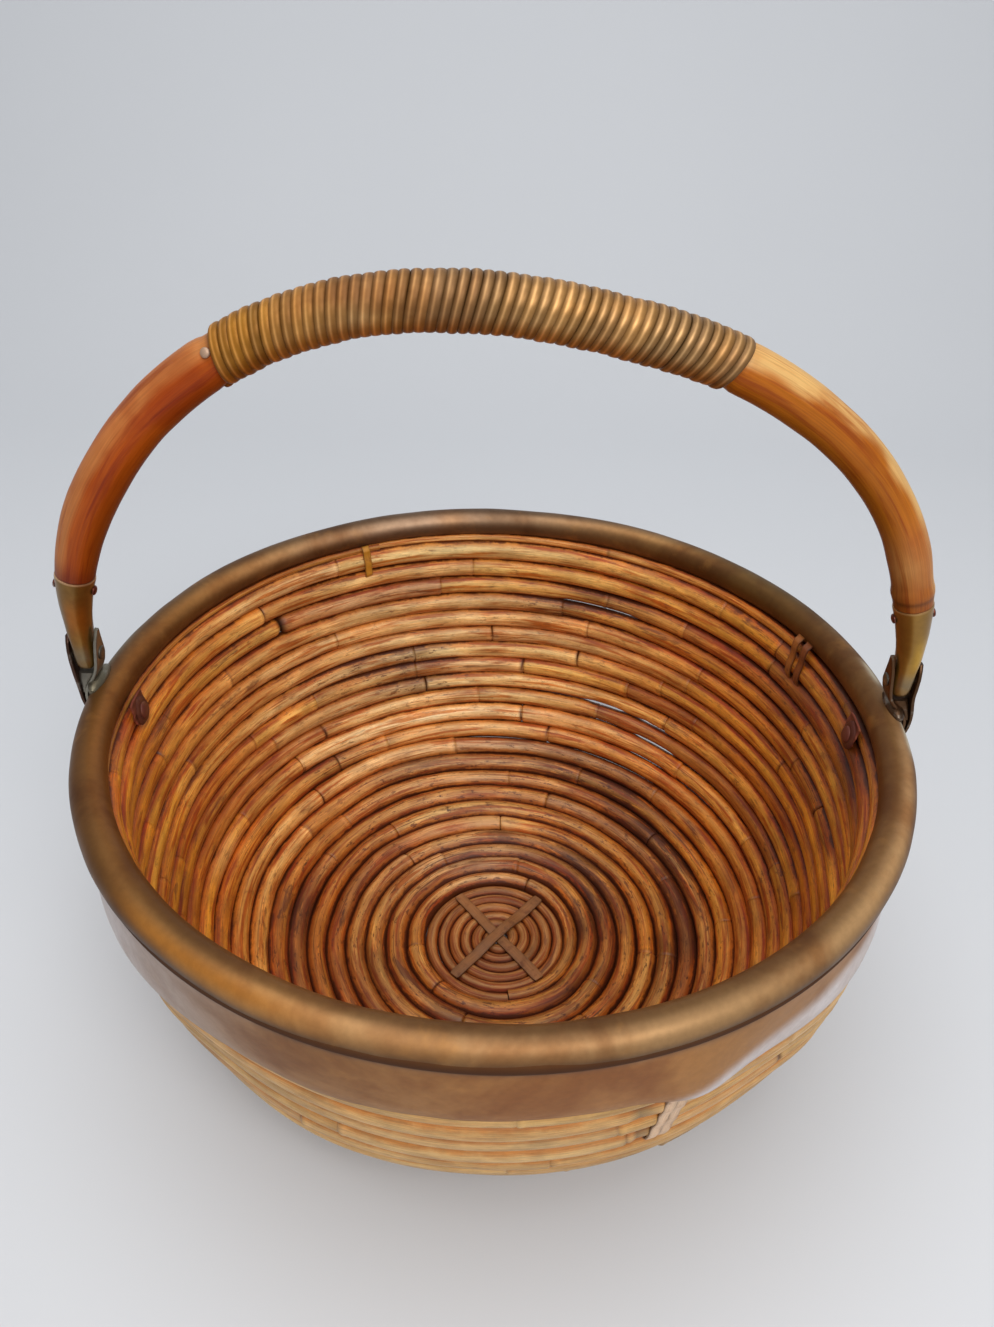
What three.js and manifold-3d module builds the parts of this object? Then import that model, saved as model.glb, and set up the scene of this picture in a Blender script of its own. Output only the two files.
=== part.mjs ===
// Round basket coiled from cane, with a rolled brass rim and a bail handle.
// Millimetres, +Z up. The origin is on the table under the middle of the bowl.
// X runs through both handle pivots.

import * as THREE from 'three';
import { mergeVertices } from 'three/addons/utils/BufferGeometryUtils.js';
import Module from 'manifold-3d';

// Clearances
const FIT = 0.3; // between pieces that touch on the real basket
const COURSE_GAP = 0.5; // between neighbouring turns of one cane
const BUTT_GAP = 0.5; // between the ends of two canes in a course
const CORE_CLEARANCE = 0.9; // between the thin core and the first thick turn

// Rim, from which the bowl's mouth and the handle's pivots take their place
const BEAD_OUTER_RADIUS = 160;
const BEAD_WALL = 1;
const HOOP_CLEARANCE = 1.25; // between the bead and the hoop inside it
const BEAD_MOUTH_DEG = 100; // part of the bead's round that is left open below
const RIM_HEIGHT = 148; // middle of the bead above the table
const BAND_HEIGHT = 33;
const BAND_THICKNESS = 1;
const BAND_SETBACK = 2.8; // of the band's top from the bead's outermost line
const RIM_SEGMENTS = 40;

// Coiled cane of the bowl
const CANE_DIAMETER = 9.1;
const CANE_SIDES = 6;
const CANE_COUNT = 10;
const STEPS_PER_TURN = 20;
const BASE_FLAT_RADIUS = 58;
const WALL_FOOT_INSET = 21.5; // of the wall's foot from the bead's outermost line
const WALL_FOOT_RISE = 62; // of the wall's foot above the flat turns
const WALL_INSET = 3.7; // of the wall's top from the middle of the bead
const TAIL_DIAMETER = 3.2; // the last turn thins to this, so that the rim lies level
const TAIL_END_DEG = 117;
const PROFILE_ROUNDING = 0.55; // how full the bowl's corner is

// Thin cane of the base's core
const CORE_DIAMETER = 5.6;
const CORE_SIDES = 5;
const CORE_TURNS = 4.5;
const CORE_STEPS_PER_TURN = 10;
const CORE_START_RADIUS = 5.5;
const CORE_START_DEG = 72; // span of the straight run at the core's inner end

// Flat strips of split cane
const STRIP_THICKNESS = 1;
const CROSS_LENGTH = 62;
const CROSS_WIDTH = 4.6;
const CROSS_DEG = 50;
const TIE_WIDTH = 4;
const TIE_LENGTH = 24;
const TIE_SPACING = 6.4; // between the two ties of a pair
const INNER_TIE_DROP = 9; // top of the inside ties below the middle of the bead
const OUTER_TIE_DROP = 40; // top of the outside ties below the middle of the bead
const BACK_TIE = { facetDeg: 126, along: -18 }; // facet of the wall, and place along it
const RIGHT_TIES = { facetDeg: 18, along: 3 };
const FRONT_TIES = { facetDeg: -72, along: 8 };

// Handle brackets, their rivets and pivots
const STRAP_THICKNESS = 1.6;
const BRACKET_WIDTH = 12;
const BRACKET_TAIL_DROP = 25;
const EAR_RISE = 8; // of the bracket's ears above the pivot
const RIVET_DROP = 15; // below the middle of the bead
const RIVET_DIAMETER = 4;
const RIVET_HEAD_DIAMETER = 8;
const RIVET_HEAD_HEIGHT = 1.8;
const WASHER_DIAMETER = 14;
const WASHER_THICKNESS = 1.2;
const PIN_DIAMETER = 4;
const PIN_HEAD_DIAMETER = 7.4;
const PIN_HEAD_HEIGHT = 1.8;
const PIVOT_INSET = 1; // of the pivot from the bead's outermost line

// Handle
const TONGUE_THICKNESS = 5;
const TONGUE_WIDTH = 10.8;
const TONGUE_TIP = 6.5; // below the pivot
const TIP_GAP = 3.8; // under the tongue's tip
const TONGUE_RISE = 11; // of the flat tongue above the pivot
const FERRULE_LENGTH = 35; // above the pivot
const FERRULE_DIAMETER = 14.5;
const FERRULE_WAIST_DIAMETER = 10.6;
const FERRULE_WALL = 1;
const SOCKET_FLOOR = 2.5;
const SOCKET_DEPTH = 17;
const FERRULE_SIDES = 16;
const NAIL_DIAMETER = 2;
const NAIL_HEAD_DIAMETER = 4;
const NAIL_HEAD_HEIGHT = 1.2;
const NAIL_DEPTH = 5; // below the ferrule's mouth
const HANDLE_RISE = 138.5; // of the bow's middle above the pivots
const HANDLE_SKEW = 8; // of the bow's top towards the left
const BOW_DIAMETER = 17.2;
const BOW_NECK_DIAMETER = 14;
const BOW_NECK_LENGTH = 32;
const BOW_GRIP_DIAMETER = 15.6;
const BOW_SIDES = 12;
const BOW_STEP = 16;
const WRAP_LENGTH = 176;
const WRAP_GAP = 0.8; // between two turns of the wire
const WRAP_STEPS_PER_TURN = 7;
const WIRE_WIDTH = 2.85;
const WIRE_CREST = 1.5;
const WIRE_THICKNESS = 1.8;
const TACK_DIAMETER = 1.6;
const TACK_HEAD_DIAMETER = 3.4;
const TACK_HEAD_HEIGHT = 1.2;
const TACK_LENGTH = 7;

// Sides of rivets, pins, nails and their bores
const ROUND_SEGMENTS = 12;

const rad = THREE.MathUtils.degToRad;
const lerp = THREE.MathUtils.lerp;
const wasm = await Module();
wasm.setup();

// Places worked out from the sizes
const beadTubeRadius = CANE_DIAMETER / 2 + HOOP_CLEARANCE + BEAD_WALL;
const beadRadius = BEAD_OUTER_RADIUS - beadTubeRadius;
const baseLine = CANE_DIAMETER / 2 - CANE_DIAMETER / 10;
const footLine = baseLine + WALL_FOOT_RISE;
const tailLift = CANE_DIAMETER / 2 - TAIL_DIAMETER;
const wallTop = new THREE.Vector2(
  beadRadius - WALL_INSET,
  RIM_HEIGHT - CANE_DIAMETER / 2 - COURSE_GAP + tailLift,
);
const wallFootRadius = BEAD_OUTER_RADIUS - WALL_FOOT_INSET;
const wallLean = Math.atan2(wallTop.x - wallFootRadius, wallTop.y - footLine);
const bracketFloor = RIM_HEIGHT + beadTubeRadius + FIT + STRAP_THICKNESS;
const pivotHeight = bracketFloor + TIP_GAP + TONGUE_TIP;
const pivotX = BEAD_OUTER_RADIUS - PIVOT_INSET;
const bandTop = RIM_HEIGHT - beadTubeRadius * Math.cos(rad(BEAD_MOUTH_DEG / 2)) - FIT;
const bandTopRadius = BEAD_OUTER_RADIUS - BAND_SETBACK;
const caneFlat = (CANE_DIAMETER / 2) * Math.cos(Math.PI / CANE_SIDES);

// A many-sided turn reaches past its true radius at its corners and falls short between them
const cornerSpread = 1 / Math.sqrt(Math.cos(Math.PI / STEPS_PER_TURN));
const facetShrink = cornerSpread * Math.cos(Math.PI / STEPS_PER_TURN);

const basket = new THREE.Group();

// Surface finishes
const finishes = {
  cane: { color: 0xb98245, roughness: 0.5, metalness: 0 },
  core: { color: 0x9c6c39, roughness: 0.55, metalness: 0 },
  strip: { color: 0xa9793f, roughness: 0.55, metalness: 0 },
  brass: { color: 0x7d5c33, roughness: 0.42, metalness: 0.8 },
  steel: { color: 0x55534d, roughness: 0.45, metalness: 0.9 },
  bow: { color: 0xb4672a, roughness: 0.45, metalness: 0 },
  wire: { color: 0x8d6a37, roughness: 0.4, metalness: 0.7 },
};

function addPiece(name, geometry, finish) {
  const mesh = new THREE.Mesh(geometry, new THREE.MeshStandardMaterial(finishes[finish]));
  mesh.name = name;
  basket.add(mesh);
  return mesh;
}

// Closed meshes and cuts
function meshGeometry(positions, index) {
  const geometry = new THREE.BufferGeometry();
  geometry.setAttribute('position', new THREE.Float32BufferAttribute(positions, 3));
  geometry.setIndex(index);
  return geometry;
}

function signedVolume(positions, index) {
  const corner = (i) => new THREE.Vector3().fromArray(positions, 3 * i);
  let total = 0;
  for (let i = 0; i < index.length; i += 3) {
    total += corner(index[i]).dot(corner(index[i + 1]).cross(corner(index[i + 2])));
  }
  return total / 6;
}

function tube(rings) {
  const sides = rings[0].length;
  const positions = rings.flat().flatMap((point) => point.toArray());
  const last = (rings.length - 1) * sides;
  const index = [];
  for (let start = 0; start < last; start += sides) {
    for (let i = 0; i < sides; i += 1) {
      const next = (i + 1) % sides;
      index.push(start + i, start + next, start + sides + next);
      index.push(start + i, start + sides + next, start + sides + i);
    }
  }
  for (let i = 1; i < sides - 1; i += 1) {
    index.push(0, i + 1, i);
    index.push(last, last + i, last + i + 1);
  }
  if (signedVolume(positions, index) < 0) {
    index.reverse();
  }
  return meshGeometry(positions, index);
}

function solidOf(geometry) {
  const plain = geometry.clone();
  plain.deleteAttribute('normal');
  plain.deleteAttribute('uv');
  const merged = mergeVertices(plain, 1e-4);
  return new wasm.Manifold(new wasm.Mesh({
    numProp: 3,
    vertProperties: new Float32Array(merged.attributes.position.array),
    triVerts: new Uint32Array(merged.index.array),
  }));
}

function cut(geometry, cutters) {
  let solid = solidOf(geometry);
  for (const cutter of cutters) {
    solid = solid.subtract(solidOf(cutter));
  }
  const mesh = solid.getMesh();
  return meshGeometry(Array.from(mesh.vertProperties), Array.from(mesh.triVerts));
}

function rodAlongX(diameter, from, to) {
  const rod = new THREE.CylinderGeometry(diameter / 2, diameter / 2, to - from, ROUND_SEGMENTS);
  rod.rotateZ(-Math.PI / 2);
  rod.translate((from + to) / 2, 0, 0);
  return rod;
}

// A rivet along X: domed heads outside the two faces, or one head and a plain end
function rivetAlongX(diameter, headDiameter, headHeight, from, to, headed = [true, true]) {
  const shank = diameter / 2;
  const rim = headDiameter / 2;
  const crown = rim * 0.6;
  const head = (face, side) => [
    new THREE.Vector2(0, face + side * headHeight),
    new THREE.Vector2(crown, face + side * headHeight * 0.85),
    new THREE.Vector2(rim, face + side * headHeight * 0.35),
    new THREE.Vector2(rim, face),
    new THREE.Vector2(shank, face),
  ];
  const plain = (face) => [new THREE.Vector2(0, face), new THREE.Vector2(shank, face)];
  const start = headed[0] ? head(from, -1) : plain(from);
  const end = headed[1] ? head(to, 1) : plain(to);
  const rivet = new THREE.LatheGeometry([...start, ...end.reverse()], ROUND_SEGMENTS);
  rivet.rotateZ(-Math.PI / 2);
  return rivet;
}

// Least gap between parts of one wound tube that lie at least half a turn apart
function leastGap(rings, stepsPerTurn) {
  const middle = (a, b) => a.clone().add(b).multiplyScalar(0.5);
  const dense = rings.map((ring) => ring.flatMap((p, i) => [p, middle(p, ring[(i + 1) % ring.length])]));
  let least = Infinity;
  dense.forEach((ring, k) => {
    for (let other = k + Math.ceil(stepsPerTurn / 2); other < dense.length; other += 1) {
      if (ring[0].distanceTo(dense[other][0]) > 4 * CANE_DIAMETER) continue;
      for (const a of ring) {
        for (const b of dense[other]) {
          least = Math.min(least, a.distanceTo(b));
        }
      }
    }
  });
  return least;
}

function reportGap(name, rings, stepsPerTurn) {
  console.log(`${name}: least gap to itself ${leastGap(rings, stepsPerTurn).toFixed(2)} mm`);
}

// One section of cane in the upright plane at an angle round the bowl's axis.
// slope points along the bowl's profile, and nothing reaches below the table.
function caneSection(angle, r, z, slope, radius, sides, turn) {
  const ring = [];
  for (let i = 0; i < sides; i += 1) {
    const a = turn + (2 * Math.PI * i) / sides;
    const out = r + radius * (Math.cos(a) * slope.x - Math.sin(a) * slope.y);
    const up = z + radius * (Math.cos(a) * slope.y + Math.sin(a) * slope.x);
    ring.push(new THREE.Vector3(out * Math.cos(angle), out * Math.sin(angle), Math.max(up, 0)));
  }
  return ring;
}

// Thin core spiral in the middle of the base
const corePitch = CORE_DIAMETER + COURSE_GAP;
const coreLine = CORE_DIAMETER / 2 - CORE_DIAMETER / 10;
const coreTop = coreLine + CORE_DIAMETER / 2;
const coreEndRadius = CORE_START_RADIUS + CORE_TURNS * corePitch;
const bowlStartRadius = coreEndRadius - corePitch + (3 * CORE_DIAMETER - CANE_DIAMETER) / 2 + CORE_CLEARANCE;

// Profile of the bowl, followed by the middle of the cane from the core to the rim
const wallFoot = new THREE.Vector2(wallFootRadius, footLine);
const baseStart = new THREE.Vector2(bowlStartRadius, baseLine);
const baseEnd = new THREE.Vector2(BASE_FLAT_RADIUS, baseLine);
const profile = new THREE.CurvePath();
profile.add(new THREE.LineCurve(baseStart, baseEnd));
profile.add(new THREE.CubicBezierCurve(
  baseEnd,
  new THREE.Vector2(lerp(BASE_FLAT_RADIUS, wallFootRadius, PROFILE_ROUNDING), baseLine),
  new THREE.Vector2(
    wallFootRadius - PROFILE_ROUNDING * WALL_FOOT_RISE * Math.tan(wallLean),
    footLine - PROFILE_ROUNDING * WALL_FOOT_RISE,
  ),
  wallFoot,
));
profile.add(new THREE.LineCurve(wallFoot, wallTop));
const profileLength = profile.getLength();
const stations = Math.floor((profileLength / (CANE_DIAMETER + COURSE_GAP)) * STEPS_PER_TURN);
const startAngle = rad(TAIL_END_DEG) - (stations * 2 * Math.PI) / STEPS_PER_TURN;

function wallRadiusAt(z) {
  return wallTop.x - (wallTop.y - z) * Math.tan(wallLean);
}

// The first turn grows from the core's thickness on its inner side, and the last thins on its upper side
function caneRing(station) {
  const share = station / stations;
  const slope = profile.getTangentAt(share);
  const thickening = Math.min(1, station / STEPS_PER_TURN);
  const thinning = Math.max(0, station - (stations - STEPS_PER_TURN)) / STEPS_PER_TURN;
  const startRadius = lerp(CORE_DIAMETER, CANE_DIAMETER, thickening) / 2;
  const radius = lerp(startRadius, TAIL_DIAMETER / 2, thinning);
  const shift = thinning > 0 ? radius - CANE_DIAMETER / 2 : CANE_DIAMETER / 2 - radius;
  const middle = profile.getPointAt(share).addScaledVector(slope, shift);
  const angle = startAngle + (station * 2 * Math.PI) / STEPS_PER_TURN;
  return caneSection(angle, middle.x * cornerSpread, middle.y, slope, radius, CANE_SIDES, 0);
}

const caneRings = Array.from({ length: stations + 1 }, (_, station) => caneRing(station));

function blendRings(first, second, share) {
  return first.map((point, i) => point.clone().lerp(second[i], share));
}

// Canes of equal length butt end to end in the middle of a straight facet
function caneCuts() {
  const lengths = [0];
  caneRings.slice(1).forEach((ring, k) => {
    lengths.push(lengths[k] + ring[0].distanceTo(caneRings[k][0]));
  });
  const cuts = [];
  for (let i = 1; i < CANE_COUNT; i += 1) {
    const target = (lengths[stations] * i) / CANE_COUNT;
    cuts.push(lengths.findIndex((length) => length > target) - 1);
  }
  return cuts;
}

function buttRing(station, side) {
  const facet = caneRings[station][0].distanceTo(caneRings[station + 1][0]);
  return blendRings(caneRings[station], caneRings[station + 1], 0.5 + (side * BUTT_GAP) / 2 / facet);
}

const cuts = caneCuts();
const caneTubes = [];
for (let i = 0; i < CANE_COUNT; i += 1) {
  const from = i > 0 ? cuts[i - 1] + 1 : 0;
  const to = i < CANE_COUNT - 1 ? cuts[i] : stations;
  const rings = caneRings.slice(from, to + 1);
  if (i > 0) rings.unshift(buttRing(from - 1, 1));
  if (i < CANE_COUNT - 1) rings.push(buttRing(to, -1));
  caneTubes.push(rings);
}

// Frame on the wall at a facet's middle: X' looks out of the wall and Z' runs up it
function wallFrame(facetAngle, drop) {
  const z = RIM_HEIGHT - drop;
  const place = new THREE.Matrix4().makeTranslation(wallRadiusAt(z) * facetShrink, 0, z);
  const tilt = new THREE.Matrix4().makeRotationY(wallLean);
  return new THREE.Matrix4().makeRotationZ(facetAngle).multiply(place).multiply(tilt);
}

const sides = [
  { name: 'right', angle: 0 },
  { name: 'left', angle: Math.PI },
];
const bandFace = (bandTopRadius - wallRadiusAt(bandTop) * facetShrink) * Math.cos(wallLean);
const tailFace = bandFace + FIT;
const tailBack = tailFace + 2 * STRAP_THICKNESS;
const washerFace = -caneFlat - FIT;
const rivetBore = RIVET_DIAMETER + 2 * FIT;
const rivetCutters = sides.map(({ angle }) => {
  const reach = 2 * CANE_DIAMETER;
  return rodAlongX(rivetBore, -reach, reach).applyMatrix4(wallFrame(angle, RIVET_DROP));
});

function addCoil() {
  const core = [];
  const coreStep = 360 / CORE_STEPS_PER_TURN;
  const coreEnd = startAngle - BUTT_GAP / coreEndRadius;
  for (let turned = 0; turned <= CORE_TURNS * 360; turned += turned === 0 ? CORE_START_DEG : coreStep) {
    const angle = coreEnd - rad(CORE_TURNS * 360 - turned);
    const r = CORE_START_RADIUS + (corePitch * turned) / 360;
    core.push(caneSection(angle, r, coreLine, new THREE.Vector2(1, 0), CORE_DIAMETER / 2, CORE_SIDES, rad(18)));
  }
  reportGap('core_coil', core, CORE_STEPS_PER_TURN);
  addPiece('core_coil', tube(core), 'core');
  caneTubes.forEach((rings, i) => {
    const name = `bowl_cane_${String(i + 1).padStart(2, '0')}`;
    reportGap(name, rings, STEPS_PER_TURN);
    const drilled = i >= CANE_COUNT - 3 ? cut(tube(rings), rivetCutters) : tube(rings);
    addPiece(name, drilled, 'cane');
  });
}

// Hoop of cane inside the bead, closed by a butt joint
function addHoop() {
  const steps = 2 * STEPS_PER_TURN;
  const upright = new THREE.Vector2(0, 1);
  const ends = BUTT_GAP / beadRadius;
  const rings = [];
  for (let k = 0; k <= steps; k += 1) {
    const angle = rad(TAIL_END_DEG) + ends / 2 + (k / steps) * (2 * Math.PI - ends);
    rings.push(caneSection(angle, beadRadius, RIM_HEIGHT, upright, CANE_DIAMETER / 2, CANE_SIDES, 0));
  }
  addPiece('rim_hoop', tube(rings), 'cane');
}

function latheAboutZ(points, segments) {
  const geometry = new THREE.LatheGeometry(points, segments);
  geometry.rotateX(Math.PI / 2);
  return geometry;
}

// Brass bead, rolled over the hoop and open below, and the band under its outer lip
function addRim() {
  const half = rad(BEAD_MOUTH_DEG / 2);
  const arc = (radius, steps) => Array.from({ length: steps + 1 }, (_, i) => {
    const a = -Math.PI / 2 + half + ((2 * Math.PI - 2 * half) * i) / steps;
    return new THREE.Vector2(beadRadius + radius * Math.cos(a), RIM_HEIGHT + radius * Math.sin(a));
  });
  const section = [...arc(beadTubeRadius, 9), ...arc(beadTubeRadius - BEAD_WALL, 6).reverse()];
  addPiece('rim_bead', latheAboutZ([...section, section[0]], RIM_SEGMENTS), 'brass');

  const bandFoot = bandTop - BAND_HEIGHT;
  const footRadius = bandTopRadius - BAND_HEIGHT * Math.tan(wallLean);
  const bandSection = [
    new THREE.Vector2(bandTopRadius - BAND_THICKNESS, bandTop),
    new THREE.Vector2(footRadius - BAND_THICKNESS, bandFoot),
    new THREE.Vector2(footRadius, bandFoot),
    new THREE.Vector2(bandTopRadius, bandTop),
  ];
  const band = latheAboutZ([...bandSection, bandSection[0]], RIM_SEGMENTS);
  addPiece('rim_band', cut(band, rivetCutters), 'brass');
}

// Split-cane strips: the cross on the core, and the ties on the wall
function addStrips() {
  const low = coreTop + FIT;
  const cross = rad(CROSS_DEG);
  const lower = new THREE.BoxGeometry(CROSS_LENGTH, CROSS_WIDTH, STRIP_THICKNESS);
  lower.translate(0, 0, low + STRIP_THICKNESS / 2);
  addPiece('base_cross_lower', lower.rotateZ(-cross), 'strip');

  const rise = STRIP_THICKNESS + FIT;
  const flat = CROSS_WIDTH;
  const slant = flat + 2 * CROSS_WIDTH;
  const end = CROSS_LENGTH / 2;
  const under = [[-end, 0], [-slant, 0], [-flat, rise], [flat, rise], [slant, 0], [end, 0]];
  const outline = under.map(([x, z]) => new THREE.Vector2(x, low + z));
  const over = under.map(([x, z]) => new THREE.Vector2(x, low + z + STRIP_THICKNESS)).reverse();
  const upper = new THREE.ExtrudeGeometry(new THREE.Shape([...outline, ...over]), {
    depth: CROSS_WIDTH,
    bevelEnabled: false,
  });
  upper.rotateX(Math.PI / 2);
  upper.translate(0, CROSS_WIDTH / 2, 0);
  addPiece('base_cross_upper', upper.rotateZ(cross), 'strip');

  const tie = (name, place, shift, drop, side) => {
    const strip = new THREE.BoxGeometry(STRIP_THICKNESS, TIE_WIDTH, TIE_LENGTH);
    strip.translate(side * (caneFlat + FIT + STRIP_THICKNESS / 2), place.along + shift, 0);
    strip.applyMatrix4(wallFrame(rad(place.facetDeg), drop + TIE_LENGTH / 2));
    addPiece(name, strip, 'strip');
  };
  const halfPair = TIE_SPACING / 2;
  tie('inner_tie_back', BACK_TIE, 0, INNER_TIE_DROP, -1);
  tie('inner_tie_right_1', RIGHT_TIES, -halfPair, INNER_TIE_DROP, -1);
  tie('inner_tie_right_2', RIGHT_TIES, halfPair, INNER_TIE_DROP, -1);
  tie('outer_tie_front_1', FRONT_TIES, -halfPair, OUTER_TIE_DROP, 1);
  tie('outer_tie_front_2', FRONT_TIES, halfPair, OUTER_TIE_DROP, 1);
}

// Bow of the handle: straight tongues at both ends and half an ellipse between them
class BowCurve extends THREE.Curve {
  getPoint(t, target = new THREE.Vector3()) {
    const a = Math.PI * t;
    const x = pivotX * Math.cos(a) - HANDLE_SKEW * Math.sin(a) ** 2;
    return target.set(x, 0, pivotHeight + TONGUE_RISE + (HANDLE_RISE - TONGUE_RISE) * Math.sin(a));
  }
}

const bowPath = new THREE.CurvePath();
const tongueTop = pivotHeight + TONGUE_RISE;
bowPath.add(new THREE.LineCurve3(
  new THREE.Vector3(pivotX, 0, pivotHeight - TONGUE_TIP),
  new THREE.Vector3(pivotX, 0, tongueTop),
));
bowPath.add(new BowCurve());
bowPath.add(new THREE.LineCurve3(
  new THREE.Vector3(-pivotX, 0, tongueTop),
  new THREE.Vector3(-pivotX, 0, pivotHeight - TONGUE_TIP),
));
const bowLength = bowPath.getLength();

// Frame at a distance along the bow from the right tip: out of the bend, and across it
function bowFrame(distance) {
  const share = THREE.MathUtils.clamp(distance / bowLength, 0, 1);
  const along = bowPath.getTangentAt(share);
  const across = new THREE.Vector3(0, 1, 0);
  const out = new THREE.Vector3().crossVectors(across, along);
  return { middle: bowPath.getPointAt(share), along, across, out };
}

function bowRing(distance, halfOut, halfAcross, count) {
  const { middle, across, out } = bowFrame(distance);
  return Array.from({ length: count }, (_, i) => {
    const a = (2 * Math.PI * i) / count;
    return middle.clone()
      .addScaledVector(out, halfOut * Math.cos(a))
      .addScaledVector(across, halfAcross * Math.sin(a));
  });
}

// A piece made along X, moved so that its X looks out of the bow's bend there
function placeOnBow(geometry, distance) {
  const { middle, across, out } = bowFrame(distance);
  const turn = new THREE.Matrix4().makeBasis(out, across, new THREE.Vector3().crossVectors(out, across));
  turn.setPosition(middle);
  return geometry.applyMatrix4(turn);
}

const ferruleMouth = TONGUE_TIP + FERRULE_LENGTH;
const socketFloor = ferruleMouth - SOCKET_DEPTH;
const ferruleWaist = socketFloor - SOCKET_FLOOR;
const nailPlace = ferruleMouth - NAIL_DEPTH;
const nailBore = NAIL_DIAMETER + 2 * FIT;
const wrapPitch = WIRE_WIDTH + WRAP_GAP;
const wrapTurns = Math.floor((WRAP_LENGTH - WIRE_WIDTH) / wrapPitch);
const gripMargin = WIRE_WIDTH / 2 + wrapPitch / 4 + FIT;
const wireStart = (bowLength - wrapTurns * wrapPitch) / 2;
const tackSeat = gripMargin + TACK_HEAD_DIAMETER / 2 + FIT;

// Outside of the ferrule's cone, which its socket and the cane's tenon follow
function coneRadius(distance) {
  const share = (distance - ferruleWaist) / (ferruleMouth - ferruleWaist);
  return lerp(FERRULE_WAIST_DIAMETER, FERRULE_DIAMETER, share) / 2;
}

function mirrored(distance, side) {
  return side.name === 'right' ? distance : bowLength - distance;
}

// Cross nails through the ferrules, and tacks that hold the ends of the wire.
// The left tack shows on the outside of the bend, and the right one sits behind.
function tackOnBow(geometry, side) {
  if (side.name === 'right') geometry.rotateZ(Math.PI / 2);
  return placeOnBow(geometry, mirrored(wireStart - tackSeat, side));
}

function addHandle() {
  const reach = FERRULE_DIAMETER;
  const bowCutters = [];
  for (const side of sides) {
    bowCutters.push(placeOnBow(rodAlongX(nailBore, -reach, reach), mirrored(nailPlace, side)));
    const hole = rodAlongX(TACK_DIAMETER + 2 * FIT, BOW_DIAMETER / 2 - TACK_LENGTH - FIT, BOW_DIAMETER);
    bowCutters.push(tackOnBow(hole, side));
  }

  const half = [];
  const run = (from, to, startRadius, endRadius) => {
    const steps = Math.max(1, Math.round((to - from) / BOW_STEP));
    for (let i = 0; i <= steps; i += 1) {
      half.push([lerp(from, to, i / steps), lerp(startRadius, endRadius, i / steps)]);
    }
  };
  const neck = ferruleMouth + FIT;
  const swell = neck + BOW_NECK_LENGTH;
  const shoulder = wireStart - gripMargin;
  const tenonEnd = socketFloor + FIT;
  const tenonSlack = FERRULE_WALL + FIT;
  run(tenonEnd, neck, coneRadius(tenonEnd) - tenonSlack, coneRadius(ferruleMouth) - tenonSlack);
  run(neck, swell, BOW_NECK_DIAMETER / 2, BOW_DIAMETER / 2);
  run(swell + BOW_STEP, shoulder, BOW_DIAMETER / 2, BOW_DIAMETER / 2);
  run(shoulder, bowLength / 2 - BOW_STEP / 2, BOW_GRIP_DIAMETER / 2, BOW_GRIP_DIAMETER / 2);
  const stationsOut = [...half, ...half.map(([d, r]) => [bowLength - d, r]).reverse()];
  const bow = tube(stationsOut.map(([distance, radius]) => bowRing(distance, radius, radius, BOW_SIDES)));
  addPiece('handle_bow', cut(bow, bowCutters), 'bow');
}

// Half-round wire wound round the grip, with a short straight run at each end
function addWrap() {
  const inner = (BOW_GRIP_DIAMETER / 2 + FIT) / Math.cos(Math.PI / WRAP_STEPS_PER_TURN);
  const section = [
    [-WIRE_WIDTH / 2, inner],
    [WIRE_WIDTH / 2, inner],
    [WIRE_CREST / 2, inner + WIRE_THICKNESS],
    [-WIRE_CREST / 2, inner + WIRE_THICKNESS],
  ];
  const count = wrapTurns * WRAP_STEPS_PER_TURN;
  const rings = [];
  const runs = [];
  for (let k = 0; k <= count; k += 1) {
    const a = (2 * Math.PI * k) / WRAP_STEPS_PER_TURN;
    const { middle, along, across, out } = bowFrame(wireStart + (wrapPitch * k) / WRAP_STEPS_PER_TURN);
    const radial = out.clone().multiplyScalar(Math.cos(a)).addScaledVector(across, Math.sin(a));
    const tangent = across.clone().multiplyScalar(Math.cos(a)).addScaledVector(out, -Math.sin(a));
    rings.push(section.map(([shift, lift]) => (
      middle.clone().addScaledVector(along, shift).addScaledVector(radial, lift)
    )));
    runs.push(tangent.multiplyScalar(WIRE_WIDTH));
  }
  const first = rings[0].map((point) => point.clone().sub(runs[0]));
  const last = rings[count].map((point) => point.clone().add(runs[count]));
  const wound = [first, ...rings, last];
  reportGap('handle_wrap', wound, WRAP_STEPS_PER_TURN);
  addPiece('handle_wrap', tube(wound), 'wire');
}

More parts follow.
